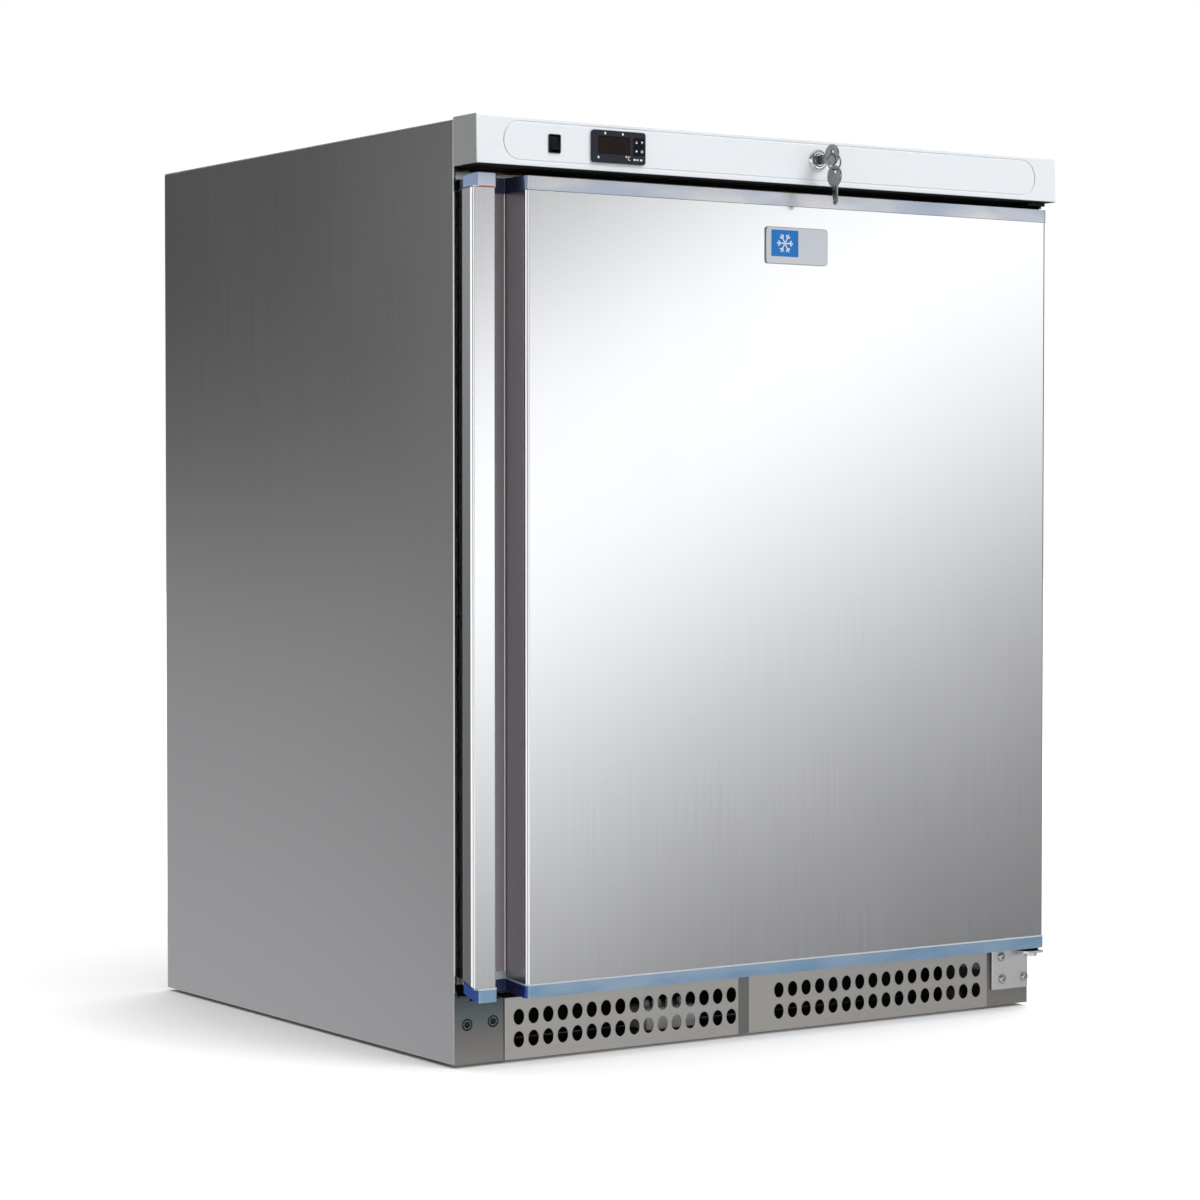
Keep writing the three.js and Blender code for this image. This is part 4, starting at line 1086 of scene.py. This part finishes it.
def make_door_filling():
    """The foam, which keeps clear of the skin's rounded edges."""
    filling = arc_points([
        (-316.5, 8.5, 0),
        (-322.0, -12.5, 2),
        (-322.5, -24.5, 2),
        (-305.0, -24.5, 2),
        (-305.0, 8.0, 1),
        (-267.0, 8.0, 1),
        (-267.0, -24.5, 2),
        (321.0, -24.5, 2),
        (316.5, 8.5, 0),
    ], 4)
    foam = Shape().prism(filling, 73, 759).box((-250, 250), (8, 16), (130, 710))
    piece("door_filling", foam, "door", "foam", ["door_foam"], angle=40)


GASKET_WIDTH = 16
GASKET_SECTION = [  # (distance in from the outer edge, share of the depth)
    (0.6, 0.0), (5.0, 0.02), (11.0, 0.02), (15.4, 0.0), (15.8, 0.10), (14.6, 0.20), (13.0, 0.30),
    (14.8, 0.42), (15.6, 0.56), (15.2, 0.80), (13.6, 0.96), (10.5, 1.0), (6.0, 1.0), (2.6, 0.97),
    (0.7, 0.84), (0.2, 0.66), (0.9, 0.50), (3.0, 0.38), (4.2, 0.28), (2.4, 0.16), (0.6, 0.10),
]


def make_gasket():
    (x0, x1), (y0, y1), (z0, z1) = span("door_gasket")
    rows = []
    for inset, share in GASKET_SECTION:
        corner = 2 + (GASKET_WIDTH - inset) * 0.2
        outline = rounded(x0 + inset, x1 - inset, z0 + inset, z1 - inset, corner, 5)
        rows.append([(p.x, y0 + (y1 - y0) * share, p.y) for p in outline])
    shape = Shape().loops(rows + rows[:1])
    bmesh.ops.remove_doubles(shape.bm, verts=shape.bm.verts, dist=0.001 * MM)
    seal = piece("door_seal", shape, "door", "gasket", ["door_gasket"], angle=70)


def make_badge():
    (x0, x1), (y0, y1), (z0, z1) = span("door_badge")
    plate = plate_mesh("badge_plate", rounded(x0, x1, z0, z1, 3), [], y0 + 0.15, y1, 0.5)
    piece("badge_plate", plate, "door", "badge", ["door_badge"], angle=50)
    wide, tall = x1 - x0, z1 - z0
    fx0, fx1 = x0 + 0.075 * wide, x0 + 0.515 * wide
    fz0, fz1 = z0 + 0.2 * tall, z1 - 0.08 * tall
    field = plate_mesh("badge_field", rounded(fx0, fx1, fz0, fz1, 0.4, 3), [], y0 + 0.06, y0 + 0.5, 0.04)
    piece("badge_field", field, "door", "badge_blue", angle=50)
    flake = snowflake(Vector(((fx0 + fx1) / 2, (fz0 + fz1) / 2)), y0)
    piece("badge_flake", flake, "door", "legend", angle=50)


FLAKE_BARS = (((0.6, 0), (9.2, 0)), ((5.0, 0), (7.6, 2.4)), ((5.0, 0), (7.6, -2.4)))
FLAKE_HALF = 0.45


def snowflake(middle, front):
    """Six arms, each a bar with two branches."""
    flake = Shape()
    for arm in range(6):
        turn = Matrix.Rotation(math.pi / 3 * arm, 2)
        for start, end in FLAKE_BARS:
            a = middle + turn @ Vector(start)
            b = middle + turn @ Vector(end)
            side = (b - a).orthogonal().normalized() * FLAKE_HALF
            flake.prism([a + side, a - side, b - side, b + side], front, front + 0.2, "y")
    return flake


# ---- Control fascia ----------------------------------------------------------------------------
FASCIA_X, FASCIA_Y, FASCIA_Z = span("fascia_cover")
FASCIA_MIDDLE = sum(FASCIA_Z) / 2
GROOVE_HALF = (300, 16.5)
LOCK = (38.6, 803)


def make_fascia():
    front = FASCIA_Y[0]
    body = Shape().box(FASCIA_X, FASCIA_Y, FASCIA_Z)
    body.soften(lambda p: p.y < front + 0.01 and p.z < FASCIA_Z[0] + 0.01, 0.7, 3)
    body.soften(lambda p: p.y < front + 0.8 and p.z > FASCIA_Z[0] + 1.0, 1.8, 6)
    inner = FASCIA_X[1] - 2.5
    hollow = Shape().box((-inner, inner), (front + 2.5, 3), (FASCIA_Z[0] + 2.3, FASCIA_Z[1] - 2.3))
    mouth = Shape().box((-inner, inner), (-12.5, 4), (FASCIA_Z[0] - 3, FASCIA_Z[0] + 5))
    reach, half = GROOVE_HALF
    outline = rounded(-reach, reach, FASCIA_MIDDLE - half, FASCIA_MIDDLE + half, half - 0.4, 24)
    path = [(p.x, front - 0.25, p.y) for p in outline]
    groove = Shape().tube(path, 0.95, 12, closed=True)
    (bx0, bx1), _, (bz0, bz1) = span("controller_bezel")
    window = Shape().box((bx0 + 1.5, bx1 - 1.5), (front - 2, front + 5), (bz0 + 1.5, bz1 - 1.5))
    (sx0, sx1), _, (sz0, sz1) = span("switch_housing")
    opening = Shape().box((sx0 + 0.6, sx1 - 0.6), (front - 2, front + 5), (sz0 + 0.5, sz1 - 0.5))
    bore = Shape().prism(ring(*LOCK, 8.4, steps=40), front - 2, front + 5, "y")
    mesh = carve(body, hollow, mouth, groove, window, opening, bore)
    piece("fascia_shell", mesh, "cabinet", "fascia", ["fascia_cover"], angle=30)


def make_shadow_gap():
    """Black sheets paint the shadow under the fascia, with the lock's cam between them, and a black
    strip paints the shadow in the gap under the door's seal."""
    x0, x1 = FASCIA_X
    low = FASCIA_Z[0] - 0.4
    shadow_sheets = Shape()
    shadow_sheets.box((x0 + 0.8, x1 - 0.8), (-37.9, -13.5), (low, low + 0.8))
    shadow_sheets.box((x0 + 3, 283), (-6.5, 19.4), (low, low + 0.8))
    shadow_sheets.box((x0 + 3.5, x1 - 3.5), (19.1, 19.7), (59.5, 75))
    piece("fascia_shadow_sheets", shadow_sheets, "cabinet", "shade", bevel=0.15)


LAMP_MARKS = ((-197, 812.6), (-178.4, 812.6), (-204, 791.4))
DEGREE_MARK = (-174.6, 793.2)
OPEN_RING = (-171.6, 791.9)
BAR_MARKS = ((-167, 2.2), (-163.6, 1.6), (-160.2, 2.4))  # (left end, width)
MARK_RISE = 0.04


def make_controller():
    (x0, x1), (y0, y1), (z0, z1) = span("controller_bezel")
    openings = []
    for node in ("display_lens", "button_up", "button_down", "button_set", "button_defrost"):
        (a0, a1), _, (b0, b1) = span(node)
        openings.append(rounded(a0 - 0.3, a1 + 0.3, b0 - 0.3, b1 + 0.3, 0.7, 3))
    bezel = plate_mesh("controller_frame", rounded(x0, x1, z0, z1, 2.6), openings, y0, y1, 0.45)
    piece("controller_frame", bezel, "cabinet", "bezel", ["controller_bezel"], angle=50)
    dress("controller_body", "black", 0.3)
    dress("display_lens", "lens", 0.15)
    piece("controller_marks", bezel_marks(y0), "cabinet", "legend", angle=50)
    for node, draw in BUTTON_MARKS.items():
        make_button(node, draw)


def bezel_marks(front):
    """Round marks by the display, a degree sign with an open ring beside it, and short bars."""
    marks = Shape()
    low, high = front - MARK_RISE, front + 0.3
    for x, z in LAMP_MARKS:
        marks.prism(ring(x, z, 0.95, 1.1, 20), low, high, "y")
    marks.wall(ring(*DEGREE_MARK, 0.9, steps=16), ring(*DEGREE_MARK, 0.5, steps=16), low, high, "y")
    x, z = OPEN_RING
    turns = [math.radians(45 + 27 * k) for k in range(11)]
    outer = [Vector((x + 1.5 * math.cos(t), z + 1.8 * math.sin(t))) for t in turns]
    inner = [Vector((x + 1.0 * math.cos(t), z + 1.3 * math.sin(t))) for t in turns]
    marks.prism(outer + inner[::-1], low, high, "y")
    for left, wide in BAR_MARKS:
        marks.box((left, left + wide), (low, high), (790.4, 791.9))
    return marks


def arrow(way):
    """A function that draws an arrow head up for 1 and down for -1."""
    def draw(mark, x, z, depth):
        outline = points_of((x - 1.1, z - 0.9 * way), (x + 1.1, z - 0.9 * way), (x, z + 1.1 * way))
        mark.prism(outline, *depth, "y")
    return draw


def dot(mark, x, z, depth):
    mark.prism(ring(x, z, 0.9, steps=20), *depth, "y")


def three_bars(mark, x, z, depth):
    for k in range(3):
        mark.box((x - 1.0 + 0.8 * k, x - 0.6 + 0.8 * k), depth, (z - 1.1, z + 1.1))


BUTTON_MARKS = {
    "button_up": arrow(1),
    "button_down": arrow(-1),
    "button_set": dot,
    "button_defrost": three_bars,
}


def make_button(node, draw):
    (x0, x1), (y0, y1), (z0, z1) = span(node)
    cap = plate_mesh(node + "_cap", rounded(x0, x1, z0, z1, 0.8, 4), [], y0, y1, 0.5)
    piece(node + "_cap", cap, node, "black", [node], angle=60)
    mark = Shape()
    draw(mark, (x0 + x1) / 2, (z0 + z1) / 2, (y0 - 0.03, y0 + 0.2))
    piece(node + "_mark", mark, node, "legend", angle=50)


def make_switch():
    (x0, x1), (y0, y1), (z0, z1) = span("switch_housing")
    opening = rounded(x0 + 1.5, x1 - 1.5, z0 + 1.0, z1 - 1.0, 0.4, 3)
    rim = plate_mesh("switch_rim", rounded(x0, x1, z0, z1, 1.2, 5), [opening], y0, y0 + 1.4, 0.35)
    piece("switch_rim", rim, "cabinet", "black", ["switch_housing"], angle=50)
    outer = rounded(x0 + 0.9, x1 - 0.9, z0 + 0.7, z1 - 0.7, 0.5, 3)
    inner = rounded(x0 + 1.5, x1 - 1.5, z0 + 1.0, z1 - 1.0, 0.4, 3)
    well = Shape().wall(outer, inner, y0 + 0.7, y1, "y")
    well.box((x0 + 1.2, x1 - 1.2), (y0 + 11, y0 + 12), (z0 + 0.9, z1 - 0.9))
    piece("switch_well", well, "cabinet", "black", angle=40)
    dress("switch_rocker", "black", 0.5, segments=3)


def make_lock():
    x, z = LOCK
    _, (y0, y1), _ = span("lock_barrel")
    rim = [(5.7, y1), (5.7, y0 + 0.6), (6.0, y0 + 0.1), (6.6, y0), (8.2, y0 + 0.05), (9.2, y0 + 0.5)]
    rim += [(9.9, y0 + 1.2), (10.2, y0 + 2.0), (10.2, y0 + 2.3), (8.0, y0 + 2.3), (8.0, y1)]
    rosette = Shape().turned(rim, (x, 0, z), "y", 64, closed=True)
    piece("lock_rosette", rosette, "cabinet", "chrome", ["lock_barrel"], angle=50)
    nut = Shape().wall(ring(x, z, 12, steps=6), ring(x, z, 8.1, steps=6), -34, -29, "y")
    piece("lock_nut", nut, "cabinet", "hinge_steel", angle=40)
    dress("lock_plug", "chrome", 0.25)
    dress("lock_cam", "hinge_steel", 0.3)


BLADE_HALF = 4.2


def key_shape(bow, shank, tip, rise, teeth):
    """A key in its own plane: its bow round (0, 0) and its blade along +a at the height rise."""
    low, high = rise - BLADE_HALF, rise + BLADE_HALF
    first = math.asin(high / bow)
    last = 2 * math.pi + math.asin(low / bow)
    turns = [first + (last - first) * k / 40 for k in range(41)]
    outline = [Vector((bow * math.cos(t), bow * math.sin(t))) for t in turns]
    outline += points_of((shank, low), (shank + 1.2, low + 0.5), (tip - 2.4, low + 0.7))
    outline += points_of((tip, rise - 0.6), (tip, rise + 0.6), (tip - 1.8, rise + 2.6))
    for a, depth in teeth[::-1]:
        for aside, share in ((1.0, 0.4), (0.0, 1.0), (-1.0, 0.4)):
            outline.append(Vector((a + aside, high - 0.7 - depth * share)))
    return outline + points_of((shank + 1.2, high - 0.5), (shank, high))


def key_mesh(name, place, turn, bow, hole_at, rise, shank, tip, teeth, thick):
    """A key with a raised rim round its bow; turn takes (a, thickness, b) to the row frame."""
    outline = key_shape(bow, shank, tip, rise, teeth)
    hole = ring(*hole_at, 2.3, steps=24)
    inside = ring(0, 0, bow - 1.9, steps=48)
    half = thick / 2
    face = half + 0.25
    parts = [
        plate_mesh(name, outline, [hole], -half, half, 0.3),
        plate_mesh(name + "_rim", ring(0, 0, bow, steps=48), [inside], -face, face, 0.3),
        plate_mesh(name + "_eye", ring(*hole_at, 3.4, steps=32), [hole], -face, face, 0.3),
    ]
    joined = bmesh.new()
    for part in parts:
        part.transform(Matrix.Translation(-at(0, 0, 0)))
        joined.from_mesh(part)
    mesh = bpy.data.meshes.new(name)
    joined.to_mesh(mesh)
    joined.free()
    mesh.transform(Matrix.Translation(at(*place)) @ turn.to_4x4())
    return mesh


SPARE_SIDEWAYS = 1.4  # the spare key hangs beside the one in the lock
WIRE_RADIUS = 0.75
LOCK_BOW, SPARE_BOW = 9.6, 9.8
LOCK_TEETH = ((23, 1.2), (27, 2.0), (31, 0.8), (35, 1.6))  # (place along the blade, depth)
SPARE_TEETH = ((14, 1.3), (18, 0.9), (22, 1.6))


def make_lock_key():
    x, _ = LOCK
    _, (y0, _), (_, top) = span("lock_key")
    into_lock = Matrix(((0, 1, 0), (1, 0, 0), (0, 0, 1)))
    place = (x, y0 + 0.3 + LOCK_BOW, top - 0.3 - LOCK_BOW)
    key = key_mesh("key_in_lock", place, into_lock, LOCK_BOW, (-1.2, 2.4), -3.0, 17.6, 41, LOCK_TEETH, 1.6)
    piece("key_in_lock", key, "lock", "key_metal", ["lock_key"], angle=50)


def make_spare_key():
    """The ring through the lock's key, and the spare key that hangs from it."""
    box = span("key_ring")
    x, y, z = (sum(pair) / 2 for pair in box)
    radius = (box[2][1] - box[2][0]) / 2 - WIRE_RADIUS
    loop = [(p.x, y, p.y) for p in ring(x, z, radius, steps=48)]
    wire = Shape().tube(loop, WIRE_RADIUS, 10, closed=True)
    piece("ring_wire", wire, "key_ring", "key_metal", ["key_ring"], angle=60)
    hang = Matrix(((0, 1, 0), (0, 0, 1), (-1, 0, 0)))
    hole_z = z - math.sqrt(radius ** 2 - SPARE_SIDEWAYS ** 2) - 1.4
    place = (x + SPARE_SIDEWAYS, y + 1.1, hole_z - 4.2)
    spare = key_mesh("spare_key", place, hang, SPARE_BOW, (-4.2, -1.1), -1.0, 10.8, 26, SPARE_TEETH, 1.4)
    piece("spare_key", spare, "key_ring", "spare_key_metal", angle=50)


# ---- Inside the cabinet ------------------------------------------------------------------------
SHELVES = ("shelf_1", "shelf_2", "shelf_3")
SHELF_GAPS = 25


def make_shelf(node):
    """A coated wire shelf: a frame, wires from front to back, and two bearers under them."""
    (x0, x1), (y0, y1), (z0, _) = span(node)
    wires = Shape()
    edge = [(p.x, p.y, z0 + 3) for p in rounded(x0 + 2.9, x1 - 2.9, y0 + 2.9, y1 - 2.9, 14)]
    wires.tube(edge, 2.8, 12, closed=True)
    for y in (y0 + 110, y1 - 110):
        wires.tube([(x0 + 3, y, z0 + 2), (x1 - 3, y, z0 + 2)], 1.9, 10)
    for i in range(1, SHELF_GAPS):
        x = x0 + 3 + (x1 - x0 - 6) * i / SHELF_GAPS
        wires.tube([(x, y0 + 3, z0 + 4.5), (x, y1 - 3, z0 + 4.5)], 1.3, 8)
    piece(node + "_wires", wires, "cabinet", "wire", [node], angle=60)


def make_shelf_clips():
    clips = Shape()
    for node in SHELVES:
        _, (y0, y1), (z0, _) = span(node)
        lip = ((279.4, z0 - 12), (279.4, z0 - 0.2), (268, z0 - 0.2), (268, z0 - 3), (275, z0 - 5))
        for y in (y0 + 40, y1 - 40):
            for side in (-1, 1):
                clips.prism(points_of(*((side * x, z) for x, z in lip)), y - 9, y + 9, "y")
    piece("shelf_clips", clips, "cabinet", "screw_steel", bevel=0.4, angle=30)


def make_fan_guard(x, z):
    _, depth, _ = span("fan_guard")
    middle = sum(depth) / 2
    guard = Shape()
    for radius in (12, 21, 30, 39, 48, 58.6):
        loop = [(p.x, middle, p.y) for p in ring(x, z, radius, steps=64)]
        guard.tube(loop, 1.1, 8, closed=True)
    for k in range(6):
        turn = math.pi * k / 3 + 0.3
        ends = [(x + r * math.cos(turn), middle, z + r * math.sin(turn)) for r in (12, 58)]
        guard.tube(ends, 1.05, 8)
    piece("fan_guard_wires", guard, "cabinet", "black", ["fan_guard"], angle=60)


HUB = [(0, -6.9), (8, -6.9), (11, -5.6), (12, -3.4), (12, 6.5), (0, 6.5)]
BLADES = 5
BLADE_RADII = (10, 20, 30, 40, 47, 50)


def make_fan_rotor(x, z):
    _, depth, _ = span("fan_blade")
    place = (x, sum(depth) / 2, z)
    rotor = Shape().turned(HUB, place, "y")
    for blade in range(BLADES):
        rows = []
        for radius in BLADE_RADII:
            row = []
            for k in range(9):
                share = k / 4 - 1
                turn = 2 * math.pi * blade / BLADES + share * 0.5 + (radius - 10) * 0.006
                twist = 4.6 * share + 0.8 * share * share
                row.append((radius * math.cos(turn), radius * math.sin(turn), twist))
            rows.append(row)
        make_blade(rotor, rows, place, 0.9)
    piece("fan_rotor", rotor, "fan", "black", ["fan_blade"], angle=50)


def make_blade(shape, rows, place, thick):
    """A curved blade of even thickness through rows of (x, z, y)."""
    across = len(rows[0])
    points = []
    for side in (-thick / 2, thick / 2):
        points += [at(place[0] + a, place[1] + h + side, place[2] + b) for row in rows for a, b, h in row]
    half = len(points) // 2
    faces = []
    for i in range(len(rows) - 1):
        for k in range(across - 1):
            corners = (i * across + k, i * across + k + 1, (i + 1) * across + k + 1, (i + 1) * across + k)
            faces += [corners, tuple(half + c for c in corners[::-1])]
    last = (len(rows) - 1) * across
    border = list(range(across))
    border += [i * across + across - 1 for i in range(1, len(rows))]
    border += [last + k for k in range(across - 2, -1, -1)]
    border += [i * across for i in range(len(rows) - 2, 0, -1)]
    for a, b in zip(border, border[1:] + border[:1]):
        faces.append((b, a, half + a, half + b))
    shape.put(points, faces)


def make_inside():
    dress("inner_liner", "liner", 2.2, 30, 4)
    for node in SHELVES:
        make_shelf(node)
    make_shelf_clips()
    dress("evaporator_cover", "white_plastic", 1.2, 40, 3)
    dress("evaporator", "fins")
    dress("fan_motor", "black", 0.8, 40)
    fan_height = sum(span("fan_motor")[2]) / 2
    make_fan_guard(0, fan_height)
    make_fan_rotor(0, fan_height)
    dress("temperature_probe", "rubber", 0.5, 40)


# ---- Machine bay and back ----------------------------------------------------------------------
POT = [
    (0, 29), (58, 29.5), (70, 33), (78, 42), (80, 56), (80, 94.5), (83.6, 96), (84, 97), (84, 101),
    (83.4, 102.3), (80, 103), (79.6, 122), (77, 144), (71, 162), (60, 175), (44, 182.5), (24, 185.6),
]
GROMMET_TOP = [(0, 29), (9, 29), (10, 31), (10, 35), (6, 37), (0, 37)]
GROMMET_FOOT = [(0, 9.6), (11, 9.6), (12, 11), (10, 14), (12, 17), (10, 20), (11, 25.4), (0, 25.4)]


def make_compressor():
    (x0, x1), (y0, y1), (_, z1) = span("compressor")
    x, y = (x0 + x1) / 2, (y0 + y1) / 2
    corners = [(x + dx, y + dy, 0) for dx in (-88, 88) for dy in (-46, 46)]
    shape = Shape().turned([*POT, (0, z1)], (x, y, 0), steps=96)
    shape.prism(rounded(x0, x1, y - 62, y + 62, 14), 25.4, 29.6)
    mounts = Shape()
    for place in corners:
        shape.turned(GROMMET_TOP, place, steps=24)
        mounts.turned(GROMMET_FOOT, place, steps=24)
    piece("compressor_pot", shape, "cabinet", "enamel", ["compressor"], bevel=0.5, angle=50)
    piece("compressor_mounts", mounts, "cabinet", "rubber", angle=50)
    stubs = Shape().tube([(x1 - 32, y, 150), (x1 - 14.6, y, 150)], 4.4, 20)
    stubs.tube([(x0 + 40, y - 34, 118), (x0 + 12, y - 56, 118)], 3.4, 16)
    piece("compressor_stubs", stubs, "cabinet", "copper", bevel=0.4, angle=50)


COIL_ROWS = 11
COIL_BEND = 22
COIL_RADIUS = 2.4
COIL_WIRES = 55
COIL_HALF = 252


def make_condenser():
    """A serpentine of tube between straps, with wires welded across it."""
    (_, x1), (y0, y1), (z0, z1) = span("condenser_coil")
    middle = (y0 + y1) / 2
    bend, radius = COIL_BEND, COIL_RADIUS
    reach = x1 - bend - radius
    path = []
    for row in range(COIL_ROWS):
        z = z0 + 12 + 2 * bend * row
        side = -1 if row % 2 == 0 else 1
        path += [(-side * reach * k, middle, z) for k in (1, 0.5, 0, -0.5, -1)]
        if row == COIL_ROWS - 1:
            break
        for step in range(1, 12):
            turn = -math.pi / 2 + math.pi * step / 12
            path.append((side * (reach + bend * math.cos(turn)), middle, z + bend + bend * math.sin(turn)))
    coil = Shape().tube(path, radius, 12)
    out = radius + 0.3
    for i in range(COIL_WIRES):
        x = -COIL_HALF + 2 * COIL_HALF * i / (COIL_WIRES - 1)
        coil.tube([(x, middle + out, z0 + 2), (x, middle + out, z1 - 2)], 0.75, 6)
        coil.tube([(x + 4, middle - out, z0 + 2), (x + 4, middle - out, z1 - 2)], 0.75, 6)
    for x in (-190, 190):
        coil.box((x - 6, x + 6), (y0 - 0.9, y0 - 0.1), (z0, z1))
        for z in (z0 + 20, z1 - 20):
            coil.turned([(0, -9.2), (4, -9.2), (4, 0), (0, 0)], (x, y0 - 0.6, z), "y", 20)
    piece("condenser_wires", coil, "cabinet", "enamel", ["condenser_coil"], angle=60)


def make_pipes():
    """The suction pipe, and the pipes of the filter dryer; they rise into the insulation."""
    end = span("machine_bay_panel")[2][1] - 1
    (x0, _), (y0, _), _ = span("compressor")
    x, y = x0 + 60, y0 + 24
    pipes = Shape()
    pipes.tube([(x + 2, y, 140), (x + 1, y - 7, 150), (x, y - 13, 166), (x, y - 14, end)], 3.4, 14)
    across, depth, (low, high) = span("filter_dryer")
    x, y = sum(across) / 2, sum(depth) / 2
    pipes.tube([(x, y, high - 3), (x, y, end)], 2.6, 12)
    turns = [math.pi * k / 12 for k in range(13)]
    loop = [(x - 14 + 14 * math.cos(t), y - 3 * t, low - 8 - 14 * math.sin(t)) for t in turns]
    pipes.tube([(x, y, low + 4), *loop, (x - 28, y - 12, low + 60), (x - 29, y - 13, end)], 1.5, 10)
    piece("bay_pipes", pipes, "cabinet", "copper", angle=60)


def make_rear():
    make_compressor()
    make_pipes()
    make_condenser()
    dress("compressor_terminal_cover", "black", 2.0, 40, 4)
    dress("condensate_tray", "black", 1.0, 40, 3)
    dress("discharge_tube", "copper")
    dress("filter_dryer", "copper", 0.8, 40)
    dress("mains_gland", "black", 0.5, 40)


bpy.context.scene.view_settings.view_transform = "Standard"
set_world()
set_camera()
set_lights()
set_floor()
make_cabinet()
make_feet()
make_grille()
make_corners()
make_lower_hinge()
make_upper_hinge()
make_junction_box()
make_door_skin()
make_trims()
make_door_inside()
make_door_filling()
make_gasket()
make_badge()
make_fascia()
make_shadow_gap()
make_controller()
make_switch()
make_lock()
make_lock_key()
make_spare_key()
make_inside()
make_rear()
